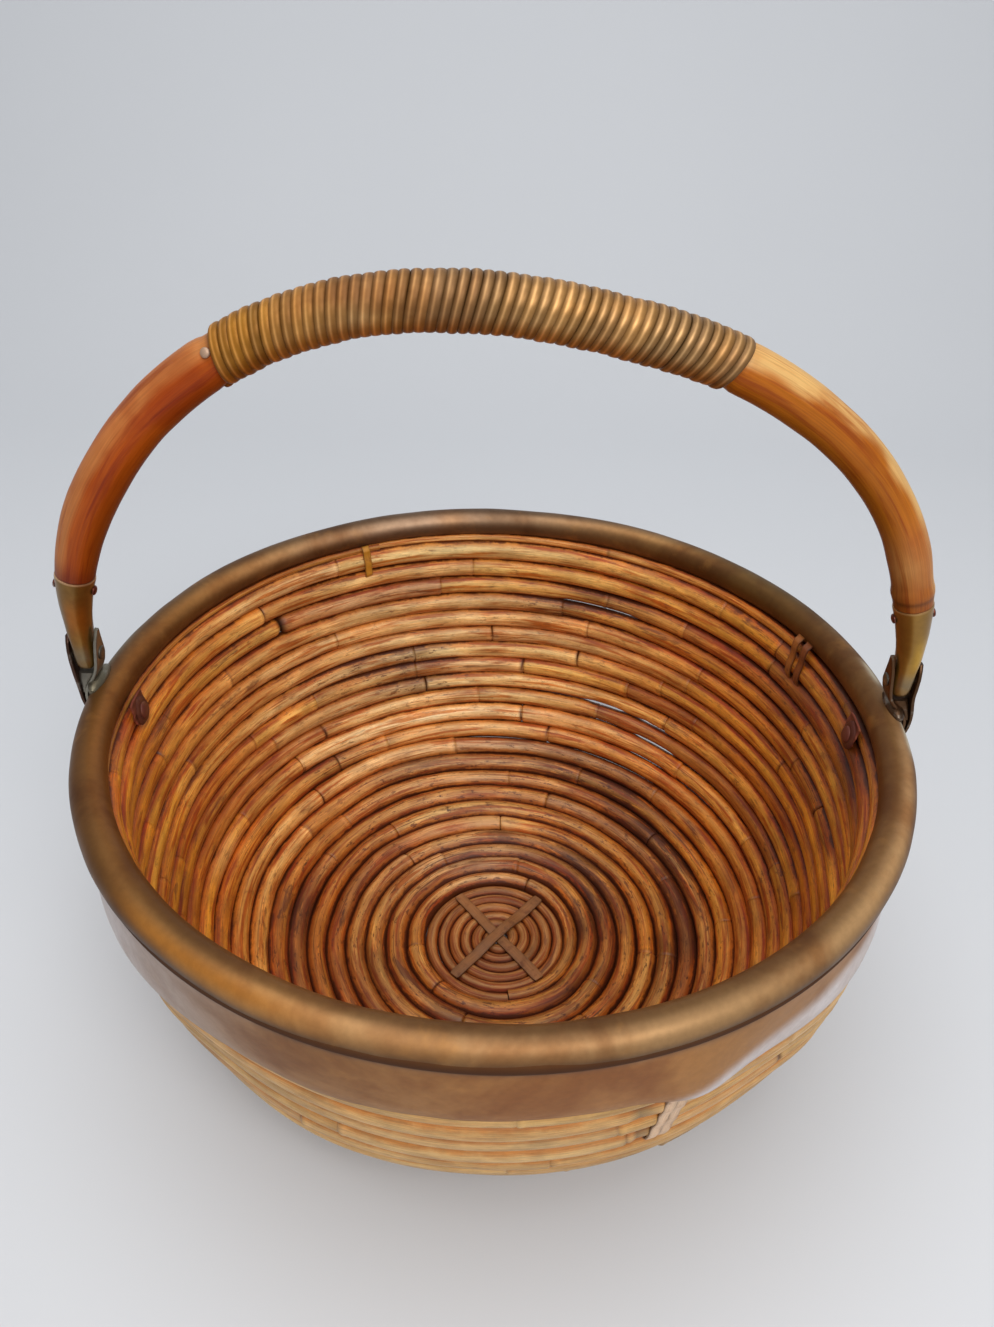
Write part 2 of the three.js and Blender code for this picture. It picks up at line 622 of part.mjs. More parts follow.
// Ferrule: a socket for the cane, drawn out and flattened into a tongue with the pivot's bore
function addFerrule(side) {
  const tongue = TONGUE_THICKNESS / 2;
  const width = TONGUE_WIDTH / 2;
  const mouth = FERRULE_DIAMETER / 2;
  const tongueEnd = TONGUE_TIP + TONGUE_RISE;
  const shape = [
    [0, tongue * 0.8, width * 0.45],
    [TONGUE_TIP * 0.3, tongue, width * 0.85],
    [TONGUE_TIP, tongue, width],
    [tongueEnd, tongue, width],
    [ferruleWaist, coneRadius(ferruleWaist), coneRadius(ferruleWaist)],
    [ferruleMouth, mouth, mouth],
    [ferruleMouth, mouth - FERRULE_WALL, mouth - FERRULE_WALL],
    [socketFloor, coneRadius(socketFloor) - FERRULE_WALL, coneRadius(socketFloor) - FERRULE_WALL],
  ];
  const rings = shape.map(([distance, halfOut, halfAcross]) => (
    bowRing(mirrored(distance, side), halfOut, halfAcross, FERRULE_SIDES)
  ));
  const reach = FERRULE_DIAMETER;
  const pivotHole = placeOnBow(rodAlongX(PIN_DIAMETER + 2 * FIT, -reach, reach), mirrored(TONGUE_TIP, side));
  const nailHole = placeOnBow(rodAlongX(nailBore, -reach, reach), mirrored(nailPlace, side));
  addPiece(`ferrule_${side.name}`, cut(tube(rings), [pivotHole, nailHole]), 'brass');

  const nailFace = coneRadius(ferruleMouth) + FIT;
  const nail = rivetAlongX(NAIL_DIAMETER, NAIL_HEAD_DIAMETER, NAIL_HEAD_HEIGHT, -nailFace, nailFace);
  addPiece(`ferrule_nail_${side.name}`, placeOnBow(nail, mirrored(nailPlace, side)), 'brass');

  const seat = BOW_DIAMETER / 2 + FIT;
  const tack = rivetAlongX(
    TACK_DIAMETER,
    TACK_HEAD_DIAMETER,
    TACK_HEAD_HEIGHT,
    seat - TACK_LENGTH,
    seat,
    [false, true],
  );
  addPiece(`wrap_tack_${side.name}`, tackOnBow(tack, side), 'brass');
}

// Bracket: a doubled strap on the band that opens into two ears round the tongue
function addBracket(side) {
  const earGap = TONGUE_THICKNESS / 2 + FIT;
  const earInner = pivotX - earGap - STRAP_THICKNESS;
  const earOuter = pivotX + earGap + STRAP_THICKNESS;
  const earTop = pivotHeight + EAR_RISE;
  const floorUnder = bracketFloor - STRAP_THICKNESS;
  const backOff = BEAD_OUTER_RADIUS + FIT;
  const wallPoint = (drop, face) => {
    const z = RIM_HEIGHT - drop;
    const x = wallRadiusAt(z) * facetShrink + face / Math.cos(wallLean);
    return new THREE.Vector2(x, z);
  };
  const below = beadTubeRadius + STRAP_THICKNESS;
  const outline = new THREE.Shape([
    new THREE.Vector2(pivotX + earGap, earTop),
    new THREE.Vector2(pivotX + earGap, bracketFloor),
    new THREE.Vector2(pivotX - earGap, bracketFloor),
    new THREE.Vector2(pivotX - earGap, earTop),
    new THREE.Vector2(earInner, earTop),
    new THREE.Vector2(earInner, floorUnder),
    new THREE.Vector2(backOff, floorUnder),
    new THREE.Vector2(backOff, RIM_HEIGHT - beadTubeRadius / 2),
    wallPoint(below, tailFace),
    wallPoint(BRACKET_TAIL_DROP, tailFace),
    wallPoint(BRACKET_TAIL_DROP, tailBack),
    wallPoint(below, tailBack),
    new THREE.Vector2(earOuter, RIM_HEIGHT - beadTubeRadius / 2),
    new THREE.Vector2(earOuter, earTop),
  ]);
  const strap = new THREE.ExtrudeGeometry(outline, { depth: BRACKET_WIDTH, bevelEnabled: false });
  strap.rotateX(Math.PI / 2);
  strap.translate(0, BRACKET_WIDTH / 2, 0);
  const pinBore = rodAlongX(PIN_DIAMETER + 2 * FIT, earInner - FIT, earOuter + FIT);
  pinBore.translate(0, 0, pivotHeight);
  const bracket = cut(strap, [pinBore, rivetCutters[0]]);
  addPiece(`bracket_${side.name}`, bracket.rotateZ(side.angle), 'steel');

  const pin = rivetAlongX(PIN_DIAMETER, PIN_HEAD_DIAMETER, PIN_HEAD_HEIGHT, earInner - FIT, earOuter + FIT);
  pin.translate(0, 0, pivotHeight);
  addPiece(`pivot_pin_${side.name}`, pin.rotateZ(side.angle), 'steel');

  const frame = wallFrame(side.angle, RIVET_DROP);
  const washerBack = washerFace - WASHER_THICKNESS;
  const rivet = rivetAlongX(
    RIVET_DIAMETER,
    RIVET_HEAD_DIAMETER,
    RIVET_HEAD_HEIGHT,
    washerBack - FIT,
    tailBack + FIT,
  );
  addPiece(`bracket_rivet_${side.name}`, rivet.applyMatrix4(frame), 'steel');

  const washerSection = [
    new THREE.Vector2(rivetBore / 2, washerBack),
    new THREE.Vector2(WASHER_DIAMETER / 2, washerBack),
    new THREE.Vector2(WASHER_DIAMETER / 2, washerFace),
    new THREE.Vector2(rivetBore / 2, washerFace),
  ];
  const washer = new THREE.LatheGeometry([...washerSection, washerSection[0]], ROUND_SEGMENTS);
  washer.rotateZ(-Math.PI / 2);
  addPiece(`rivet_washer_${side.name}`, washer.applyMatrix4(frame), 'steel');
}

addCoil();
addHoop();
addRim();
addStrips();
addHandle();
addWrap();
sides.forEach((side) => {
  addFerrule(side);
  addBracket(side);
});

export default basket;
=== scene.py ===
# Looks of a round basket coiled from cane, with a rolled brass rim and a bail handle.
# Sizes are in millimetres and become metres when a mesh is made.

import math

import bmesh
import bpy
import numpy as np
from mathutils import Matrix, Vector


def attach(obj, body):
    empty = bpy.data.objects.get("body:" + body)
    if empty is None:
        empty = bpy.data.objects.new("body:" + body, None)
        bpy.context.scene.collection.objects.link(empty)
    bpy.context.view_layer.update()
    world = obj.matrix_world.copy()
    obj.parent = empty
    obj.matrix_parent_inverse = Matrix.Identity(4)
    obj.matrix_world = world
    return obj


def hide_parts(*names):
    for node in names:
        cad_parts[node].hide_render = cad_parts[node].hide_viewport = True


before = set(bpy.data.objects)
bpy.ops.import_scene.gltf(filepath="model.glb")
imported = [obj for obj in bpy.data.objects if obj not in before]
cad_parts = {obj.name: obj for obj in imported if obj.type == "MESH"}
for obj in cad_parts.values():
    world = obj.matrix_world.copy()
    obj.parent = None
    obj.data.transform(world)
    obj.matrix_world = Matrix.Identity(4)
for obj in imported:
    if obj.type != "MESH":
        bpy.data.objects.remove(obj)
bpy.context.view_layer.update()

MM = 0.001
TAU = 2 * math.pi
OUTWARD = np.array([1.0, 0, 0])
ACROSS = np.array([0, 1.0, 0])
UPWARD = np.array([0, 0, 1.0])

# Rim
BEAD_OUTER_RADIUS = 160
BEAD_TUBE = 6.8
BEAD_WALL = 1
RIM_HEIGHT = 148
BAND_HEIGHT = 33
BAND_THICKNESS = 1
BAND_TOP = 143.33
BAND_TOP_RADIUS = 157.2
FRONT_RISE = 1.4  # how far the bead rides up at the front
RIM_STEPS = 360
HOOP_STEPS = 240
BEAD_SPAN_DEG = (-62, 230)  # the rolled section, from outward over the top
BAND_ROWS = 26
BAND_TUCK = 2.2  # how far the band reaches up behind the bead
BAND_FRONT_TUCK = 5.0  # how much further it does so at the front
LIP_HEIGHT = 144  # of the band's swollen lip under the bead
LIP_FRONT_RISE = 3.5
BULGE_DEG = -64  # where the band swells over the outside ties
DIP_DEG = -108  # where its foot dips

# Coiled cane of the bowl
CANE_DIAMETER = 9.1
STEPS_PER_TURN = 20
COURSE_GAP = 0.5
CANE_COUNT = 10
CANE_SIDES = 20
CANE_STEP = 4
COIL_SAMPLES = 12000
FLOOR_CLEAR = 0.02  # no cane reaches below this
CANE_FULLNESS = 1.11  # how far the drawn cane fills the gap to its neighbours
BOWL_START_RADIUS = 31.6
BASE_FLAT_RADIUS = 58
BASE_LINE = 3.64
WALL_FOOT_RADIUS = 138.5
WALL_FOOT_LINE = 65.64
WALL_TOP_RADIUS = 149.5
WALL_TOP_LINE = 144.3
PROFILE_ROUNDING = 0.55
TAIL_DIAMETER = 3.2  # the last turn thins to this under the bead
TAIL_END_DEG = 117
FILLER_STEPS = 90
FILLER_GIRTH = 1.9
FILLER_START = 1.006  # turns before the end of the coil
FILLER_END = 0.45
BASE_DRIFT = 5  # how far the base lies to the right
BASE_DRIFT_TOP = 110  # height at which the drift ends
FRONT_PULL = 3  # how far the wall lies in at the front
FRONT_PULL_DEG = -88
FRONT_PULL_HEIGHT = 46
WALL_BULGES = [(-33, 7.5), (-148, 6.2)]  # degrees, and how far the wall and band swell there

# Thin core of the base and the flat strips
CORE_DIAMETER = 5.6
CORE_TURNS = 5.5
CORE_STEPS_PER_TURN = 72
CORE_START_RADIUS = 3.4
CORE_LAST_TURN = 27.7
CORE_END_RADIUS = 33.4
CORE_LINE = 2.24
CORE_TOP = 5.04
CROSS_LENGTH = 62
CROSS_WIDTH = 5.4
CROSS_DEG = 50
STRIP_THICKNESS = 1
STRIP_STEPS = 41
TIE_WIDTH = 4
TIE_LENGTH = 24
TIE_SPACING = 6.4
OUTER_TIE_SPACING = 4.2
INNER_TIE_DROP = 9
OUTER_TIE_DROP = 40

# Brackets, rivets and pivots
PIVOT_X = 159
RIGHT_INSET = 2.5  # how far the right foot of the handle leans in
FOOT_X = {"right": PIVOT_X - RIGHT_INSET, "left": PIVOT_X}
PIVOT_HEIGHT = 167
STRAP_THICKNESS = 1.6
STRAP_STEPS = 60
EAR_GAP = 4.0
EAR_RISE = 8
BRACKET_FLOOR = 156.7
BRACKET_TAIL_DROP = 25
RIVET_DROP = 10
RIVET_HEAD = 7
RIVET_SHANK = 2  # radius
RIVET_CROWN = 1.6  # height of the head
RIVET_STAINS_DEG = (-5, 185)  # where rust runs from the rivets
WASHER_DIAMETER = 11
WASHER_THICKNESS = 1.2
PIN_HEAD = 5.4
PIN_SHANK = 2  # radius
PIN_CROWN = 0.9  # height of the head

# Handle
TONGUE_TIP = 6.5
TONGUE_RISE = 11
FERRULE_MOUTH = 41.5
NAIL_DEPTH = 5
NAIL_REACH = 6.8
NAIL_SHANK = 1  # radius
NAIL_HEAD = 1.9  # radius
NAIL_CROWN = 1.1
TACK_LENGTH = 7
TACK_SHANK = 0.8  # radius
TACK_HEAD = 1.7  # radius
TACK_CROWN = 1.2
HANDLE_RISE = 138.5
HANDLE_SKEW = 8
# Degrees round the handle's arch from the right, and how far the bent cane strays outward there
HANDLE_BENDS = [
    (0, 0), (8, -2.2), (16, -3.4), (25, -2.6), (40, -0.8), (58, -0.7), (75, -2.6), (88, -1.2), (104, 0.6),
    (117, 0.3), (130, -1.2), (148, -2.7), (163, -1.6), (174, -0.4), (180, 0),
]
BOW_GRIP_DIAMETER = 15.6
BOW_INSET = 24.8  # from the tongue's tip to the cane's end
BOW_STEP = 1.5
BOW_SIDES = 28
NODE_PLACE = 48  # of the cane's node, from the right tip
NECK_PLACE = 42  # from either tip, where the cane leaves the ferrule
BARE_PLACE = 44  # from either tip, where its uneven skin begins
RUBBED_PLACE = 62  # of the pale worn side, from the right tip
WRAP_TURNS = 48
WRAP_PITCH = 3.5
WRAP_SHIFT = 8.0  # how far the winding sits towards the left of the handle's middle
WRAP_LEAN = 2.8  # how far each winding leans to the right at its top
WIRE_WIDTH = 3.9
WIRE_THICKNESS = 1.25
WRAP_STEPS = 30

# Camera, fitted to the photo
PHOTO_HEIGHT = 1327
FOCAL_PIXELS = 1000
SENSOR = 36
CAMERA_PLACE = (-0.06, -311.7, 395.9)
CAMERA_FORWARD = (0, 0.8074, -0.5900)
CAMERA_RIGHT = (0.99941, 0.02018, 0.02761)


def srgb(red, green, blue):
    """A colour as the eye reads it on a screen, turned into the linear values that shaders use."""
    def linear(value):
        return value / 12.92 if value <= 0.04045 else ((value + 0.055) / 1.055) ** 2.4
    return np.array([linear(red), linear(green), linear(blue), 1.0])


# Random values on a line and round a circle, joined smoothly, from fixed seeds
def ease(share):
    share = np.clip(share, 0, 1)
    return share * share * (3 - 2 * share)


def line_noise(seed, step, places):
    places = np.asarray(places, float) / step
    index = np.floor(places).astype(int)
    low = index.min()
    values = np.random.RandomState(seed).uniform(-1, 1, index.max() - low + 2)
    blend = ease(places - index)
    return values[index - low] * (1 - blend) + values[index - low + 1] * blend


def round_noise(seed, knots, angles):
    places = (np.asarray(angles, float) / TAU * knots) % knots
    index = np.floor(places).astype(int) % knots
    values = np.random.RandomState(seed).uniform(-1, 1, knots)
    blend = ease(places - np.floor(places))
    return values[index] * (1 - blend) + values[(index + 1) % knots] * blend


def varied(amount, seed, step, places):
    """Shares that stray from 1 by up to an amount, smoothly along a line."""
    return 1 + amount * line_noise(seed, step, places)


# Helpers for shares, angles, points and colours
def hump(values, middle, spread):
    """A smooth bump, 1 at its middle and almost 0 two spreads away."""
    return np.exp(-((values - middle) / spread) ** 2)


def half_turn(degrees):
    """Degrees brought between -180 and 180."""
    return (degrees + 180) % 360 - 180


def spun(angle, out, up):
    """Points at distances out from the basket's axis and at heights up, turned to their angles."""
    return np.stack([out * np.cos(angle), out * np.sin(angle), up], -1)


def toward(tints, colour, share):
    """Colours moved by a share towards one colour."""
    return tints + (colour - tints) * share[..., None]


# Meshes gathered from tubes
class Shape:
    def __init__(self):
        self.points = []
        self.faces = []
        self.corners = []
        self.tints = []
        self.count = 0

    def tube(self, rings, lengths, tints, closed=False):
        """Skin over a row of rings. lengths are the rings' places along the tube, for the grain."""
        rings = np.asarray(rings, float)
        lengths = np.asarray(lengths, float) / 100
        rows, sides = rings.shape[:2]
        i = np.arange(rows if closed else rows - 1)[:, None]
        j = np.arange(sides)[None, :]
        ahead = (i + 1) % rows
        around = (j + 1) % sides
        quads = np.stack([i * sides + j, i * sides + around, ahead * sides + around, ahead * sides + j], -1)
        self.faces += (quads.reshape(-1, 4) + self.count).tolist()
        far = np.append(lengths[1:], lengths[-1] + lengths[1] - lengths[0])
        near_u = np.broadcast_to(lengths[i], quads.shape[:2])
        far_u = np.broadcast_to(far[i], quads.shape[:2])
        near_v = np.broadcast_to(j / sides, quads.shape[:2])
        far_v = near_v + 1 / sides
        corners = np.stack([near_u, near_v, near_u, far_v, far_u, far_v, far_u, near_v], -1)
        self.corners.append(corners.reshape(-1))
        if not closed:
            for row in (0, rows - 1):
                face = [self.count + row * sides + side for side in range(sides)]
                self.faces.append(face[::-1] if row == 0 else face)
                self.corners.append(np.tile([lengths[row], 0.5], sides))
        tints = np.asarray(tints, float)
        if tints.ndim == 2:
            tints = np.repeat(tints[:, None, :], sides, axis=1)
        self.tints.append(tints.reshape(-1, 4))
        self.points.append(rings.reshape(-1, 3))
        self.count += rows * sides
        return self

    def build(self, name, material, body, slot, nodes, sharp_deg=50):
        mesh = bpy.data.meshes.new(name)
        mesh.from_pydata((np.vstack(self.points) * MM).tolist(), [], self.faces)
        layer = mesh.uv_layers.new(name="UVMap")
        layer.data.foreach_set("uv", np.concatenate(self.corners).astype(np.float32))
        tint = mesh.color_attributes.new("tint", "FLOAT_COLOR", "POINT")
        tint.data.foreach_set("color", np.vstack(self.tints).astype(np.float32).reshape(-1))
        editing = bmesh.new()
        editing.from_mesh(mesh)
        bmesh.ops.recalc_face_normals(editing, faces=editing.faces)
        editing.to_mesh(mesh)
        editing.free()
        mesh.shade_smooth()
        mesh.set_sharp_from_angle(angle=math.radians(sharp_deg))
        mesh.materials.append(material)
        piece = bpy.data.objects.new(name, mesh)
        bpy.context.scene.collection.objects.link(piece)
        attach(piece, body)
        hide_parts(*nodes)
        return piece


def circle(sides):
    angles = np.arange(sides) * TAU / sides
    return np.cos(angles), np.sin(angles)


def squared_circle(sides, squareness):
    """A round whose corners fill out as squareness grows from 2, a circle."""
    cosine, sine = circle(sides)
    power = 2 / squareness
    return np.sign(cosine) * np.abs(cosine) ** power, np.sign(sine) * np.abs(sine) ** power


def sweep(middles, first, second, half_first, half_second, sides, squareness=2.0):
    """Rings round a path, with half sizes along two directions at each point."""
    middles = np.asarray(middles, float)
    count = len(middles)
    squareness = np.broadcast_to(squareness, count)
    half_first = np.broadcast_to(half_first, count)
    half_second = np.broadcast_to(half_second, count)
    first = np.broadcast_to(first, (count, 3))
    second = np.broadcast_to(second, (count, 3))
    rings = np.empty((count, sides, 3))
    for k in range(count):
        along_first, along_second = squared_circle(sides, squareness[k])
        rings[k] = middles[k] + np.outer(along_first * half_first[k], first[k])
        rings[k] += np.outer(along_second * half_second[k], second[k])
    return rings


def path_lengths(points):
    return np.concatenate([[0], np.cumsum(np.linalg.norm(np.diff(points, axis=0), axis=1))])


# Materials
class Shader:
    def __init__(self, name):
        self.material = bpy.data.materials.new(name)
        self.material.use_nodes = True
        self.tree = self.material.node_tree
        self.surface = self.tree.nodes["Principled BSDF"]

    def put(self, value, socket):
        if isinstance(value, bpy.types.NodeSocket):
            self.tree.links.new(value, socket)
        elif hasattr(socket.default_value, "__len__"):
            socket.default_value = tuple(value)[:len(socket.default_value)]
        else:
            socket.default_value = value

    def add(self, kind, output, inputs=None, **settings):
        """A new node with its settings and inputs. Gives back one of its outputs."""
        node = self.tree.nodes.new("ShaderNode" + kind)
        for name, value in settings.items():
            setattr(node, name, value)
        for socket, value in (inputs or {}).items():
            self.put(value, node.inputs[socket])
        return node.outputs[output]

    def uv(self):
        return self.add("UVMap", "UV", uv_map="UVMap")

    def solid_place(self):
        return self.add("TexCoord", "Object")

    def noise(self, place, scale, detail, roughness, twist=0.0):
        return self.add("TexNoise", "Fac", {
            "Vector": place, "Scale": scale, "Detail": detail, "Roughness": roughness, "Distortion": twist,
        })

    def grain(self, along, across, scale, detail, roughness, twist=0.0):
        """Noise on the skin: along runs per decimetre of length, across per way round."""
        place = self.add("Mapping", "Vector", {"Vector": self.uv(), "Scale": (along, across, 1)})
        return self.noise(place, scale, detail, roughness, twist)

    def range(self, value, low, high, to_low=0.0, to_high=1.0):
        inputs = {"Value": value, "From Min": low, "From Max": high, "To Min": to_low, "To Max": to_high}
        return self.add("MapRange", "Result", inputs, interpolation_type="SMOOTHSTEP")

    def math(self, operation, first, second=0.0):
        return self.add("Math", "Value", {0: first, 1: second}, operation=operation)

    def times(self, first, second):
        return self.math("MULTIPLY", first, second)

    def mix(self, share, first, second, mode="MIX"):
        return self.add("Mix", 2, {0: share, 6: first, 7: second}, data_type="RGBA", blend_type=mode)

    def layer(self, colour, value, low, high, strength, other, mode="MIX", where=None):
        """Another colour laid on as a value climbs from low to high, and only where it may show."""
        share = self.range(value, low, high, 0, strength)
        if where is not None:
            share = self.times(share, where)
        return self.mix(share, colour, other, mode)

    def scaled(self, colour, share):
        """A colour made lighter or darker by a share that varies over the surface."""
        return self.add("VectorMath", "Vector", {0: colour, "Scale": share}, operation="SCALE")

    def tint(self):
        """Colour and alpha that the mesh carries at each point."""
        colour = self.add("Attribute", "Color", attribute_name="tint")
        return colour, colour.node.outputs["Alpha"]

    def round_share(self):
        """How far round the skin a point lies, from 0 to 1."""
        return self.add("SeparateXYZ", "Y", {"Vector": self.uv()})

    def bump(self, height, strength, distance_mm, under=None):
        inputs = {"Height": height, "Strength": strength, "Distance": distance_mm * MM}
        if under is not None:
            inputs["Normal"] = under
        return self.add("Bump", "Normal", inputs)

    def set(self, **values):
        for name, value in values.items():
            self.put(value, self.surface.inputs[name.replace("_", " ")])


def cane_material(name, gloss):
    """Varnished cane with fibres; pale crests that are partly wear and partly painted highlight; orange
    flanks and dark grooves that are painted shade, with some dirt in the grooves. Alpha below 1 stains it,
    above 1 fades it.
    """
    shader = Shader(name)
    colour, clean = shader.tint()
    turned_by = shader.times(shader.round_share(), TAU)
    outer = shader.range(shader.math("SINE", turned_by), -0.5, 0.1, 1, 0)
    marked = shader.math("SUBTRACT", 1.0, shader.times(outer, 0.75))
    side = shader.math("ABSOLUTE", shader.math("COSINE", turned_by))
    crest = shader.range(side, 0.25, 0.80, 1, 0)
    fibre = shader.grain(3.5, 34, 2.2, 5, 0.65)
    streak = shader.grain(1.2, 6, 2.0, 4, 0.6, 0.4)
    crest_noise = shader.grain(1.0, 3, 2.6, 5, 0.65, 0.5)
    blotch = shader.grain(4.0, 2.5, 1.3, 5, 0.65)
    dusk = shader.grain(1.7, 3.5, 1.6, 6, 0.7, 0.6)
    colour = shader.scaled(colour, shader.range(fibre, 0.30, 0.70, 0.77, 1.19))
    colour = shader.layer(colour, streak, 0.47, 0.64, 0.95, srgb(0.80, 0.56, 0.30), "MULTIPLY", marked)
    # Painted highlight, partly wear: the crests of the canes made paler where the noise allows
    colour = shader.layer(colour, crest_noise, 0.46, 0.60, 1, CREST_WEAR_AND_HIGHLIGHT, "MULTIPLY", shader.times(crest, marked))
    colour = shader.scaled(colour, shader.range(blotch, 0.3, 0.7, 0.80, 1.20))
    colour = shader.layer(colour, dusk, 0.57, 0.67, 0.72, srgb(0.40, 0.21, 0.12), where=marked)
    pale = shader.scaled(srgb(0.84, 0.65, 0.42), shader.range(fibre, 0.3, 0.7, 0.85, 1.12))
    colour = shader.layer(colour, clean, 1.0, 1.7, 0.85, pale)

    # Flakes, specks and fine cracks, thicker where the cane is stained
    rough = shader.times(marked, shader.range(clean, 0.6, 1.0, 1.0, 0.45))
    clustered = shader.times(rough, shader.range(blotch, 0.46, 0.60, 0.1, 1.0))
    flecks = (
        (shader.grain(9, 9, 1.5, 6, 0.72), 0.56, 0.61, 0.8, rough, srgb(0.40, 0.20, 0.08)),
        (shader.grain(20, 24, 1.0, 4, 0.65), 0.58, 0.64, 0.85, clustered, srgb(0.28, 0.12, 0.04)),
        (shader.grain(1.6, 44, 1.0, 3, 0.5), 0.60, 0.66, 0.8, rough, srgb(0.40, 0.18, 0.05)),
    )
    for fleck, low, high, strength, where, dark in flecks:
        colour = shader.layer(colour, fleck, low, high, strength, dark, where=where)

    # Painted shade: orange flanks darkening into dark grooves with an uneven edge, partly dirt in the
    # grooves; then smeared stains
    edge = shader.grain(5, 1, 1.6, 5, 0.7)
    side = shader.math("ADD", side, shader.range(edge, 0.3, 0.7, -0.09, 0.09))
    side = shader.math("ADD", side, shader.range(clean, 0.70, 1.0, 0.12, 0.0))
    colour = shader.layer(colour, side, 0.40, 0.82, 0.85, srgb(0.92, 0.72, 0.44), "MULTIPLY")
    colour = shader.layer(colour, side, 0.82, 0.97, 0.96, srgb(0.34, 0.14, 0.03), where=marked)
    smear = shader.grain(2.4, 7, 1.6, 6, 0.70, 0.5)
    stained = shader.math("SUBTRACT", 1.0, clean)
    stained = shader.times(stained, shader.range(smear, 0.35, 0.50, 0.22, 1.0))
    stained = shader.times(stained, shader.range(side, 0.1, 0.8, 0.75, 1.0))
    colour = shader.mix(stained, colour, srgb(0.24, 0.11, 0.06))
    height = shader.math("ADD", shader.times(fibre, 0.5), shader.times(blotch, 0.6))
    shader.set(
        Base_Color=colour,
        Roughness=shader.range(streak, 0.3, 0.7, gloss, gloss + 0.16),
        Specular_IOR_Level=0.45,
        Normal=shader.bump(height, 0.7, 0.45),
    )
    return shader.material


def strip_material():
    """Flat split cane with straight fibres."""
    shader = Shader("split_cane")
    colour, _ = shader.tint()
    fibre = shader.grain(6, 40, 2.0, 4, 0.65)
    patch = shader.grain(14, 3, 1.5, 3, 0.6)
    colour = shader.scaled(colour, shader.range(fibre, 0.25, 0.75, 0.72, 1.15))
    colour = shader.layer(colour, patch, 0.5, 0.75, 0.6, srgb(0.62, 0.40, 0.18), "MULTIPLY")
    shader.set(
        Base_Color=colour,
        Roughness=shader.range(patch, 0.3, 0.7, 0.42, 0.6),
        Normal=shader.bump(fibre, 0.5, 0.3),
    )
    return shader.material


def bow_material():
    """Thick polished cane of the handle: long fibres, reddish flecks, warm varnish."""
    shader = Shader("handle_cane")
    colour, _ = shader.tint()
    fibre = shader.grain(1.6, 46, 2.0, 5, 0.65)
    streak = shader.grain(0.9, 8, 2.2, 4, 0.6, 0.5)
    cloud = shader.noise(shader.solid_place(), 38, 3, 0.5)
    colour = shader.scaled(colour, shader.range(fibre, 0.25, 0.75, 0.80, 1.14))
    colour = shader.layer(colour, streak, 0.48, 0.66, 0.6, srgb(0.76, 0.52, 0.24), "MULTIPLY")
    colour = shader.layer(colour, cloud, 0.45, 0.7, 0.5, srgb(0.80, 0.54, 0.30), "MULTIPLY")
    shader.set(
        Base_Color=colour,
        Roughness=shader.range(fibre, 0.3, 0.7, 0.38, 0.50),
        Specular_IOR_Level=0.22,
        Normal=shader.bump(fibre, 0.4, 0.25),
    )
    return shader.material


def brass_material(name, metal, gloss, lacquer):
    """Old brass: brown bloom and golden rubs. Alpha below 1 dulls the metal so its pale colour shows: bare
    scuffed metal on the bead, painted reflection of the floor on the band. Alpha above 1 is painted shade:
    dark brown, dull and rough.
    """
    shader = Shader(name)
    colour, skin = shader.tint()
    aged = shader.math("MINIMUM", skin, 1.0)
    # Alpha above 1 marks painted shade
    painted_shade = shader.range(skin, 1.0, 2.0)
    place = shader.solid_place()
    bloom = shader.noise(place, 24, 4, 0.6, 0.4)
    rub = shader.noise(place, 60, 4, 0.6)
    fine = shader.noise(place, 420, 3, 0.6)
    colour = shader.layer(colour, bloom, 0.40, 0.68, 0.7, srgb(0.72, 0.58, 0.42), "MULTIPLY", aged)
    colour = shader.layer(colour, rub, 0.56, 0.76, 0.30, srgb(0.72, 0.50, 0.24), where=aged)
    colour = shader.scaled(colour, shader.range(fine, 0.3, 0.7, 0.94, 1.05))
    colour = shader.mix(painted_shade, colour, srgb(0.27, 0.15, 0.06))
    relief = shader.bump(rub, 0.20, 0.5)
    polish = shader.range(bloom, 0.3, 0.7, gloss, gloss + 0.12)
    metallic = shader.times(aged, metal)
    shader.set(
        Base_Color=colour,
        Metallic=shader.times(metallic, shader.math("SUBTRACT", 1.0, painted_shade)),
        Roughness=shader.math("ADD", polish, shader.times(painted_shade, 0.45)),
        Specular_IOR_Level=0.3,
        Normal=shader.bump(fine, 0.12, 0.10, relief),
        Coat_Weight=lacquer,
        Coat_Roughness=0.22,
    )
    return shader.material


def steel_material():
    """Dark blackened steel with worn bright spots."""
    shader = Shader("dark_steel")
    colour, _ = shader.tint()
    place = shader.solid_place()
    wear = shader.noise(place, 160, 4, 0.65)
    fine = shader.noise(place, 700, 3, 0.6)
    colour = shader.layer(colour, wear, 0.5, 0.72, 0.6, srgb(0.62, 0.60, 0.56))
    shader.set(
        Base_Color=colour,
        Metallic=0.85,
        Roughness=shader.range(wear, 0.3, 0.7, 0.42, 0.28),
        Normal=shader.bump(fine, 0.4, 0.2, shader.bump(wear, 0.5, 0.6)),
    )
    return shader.material


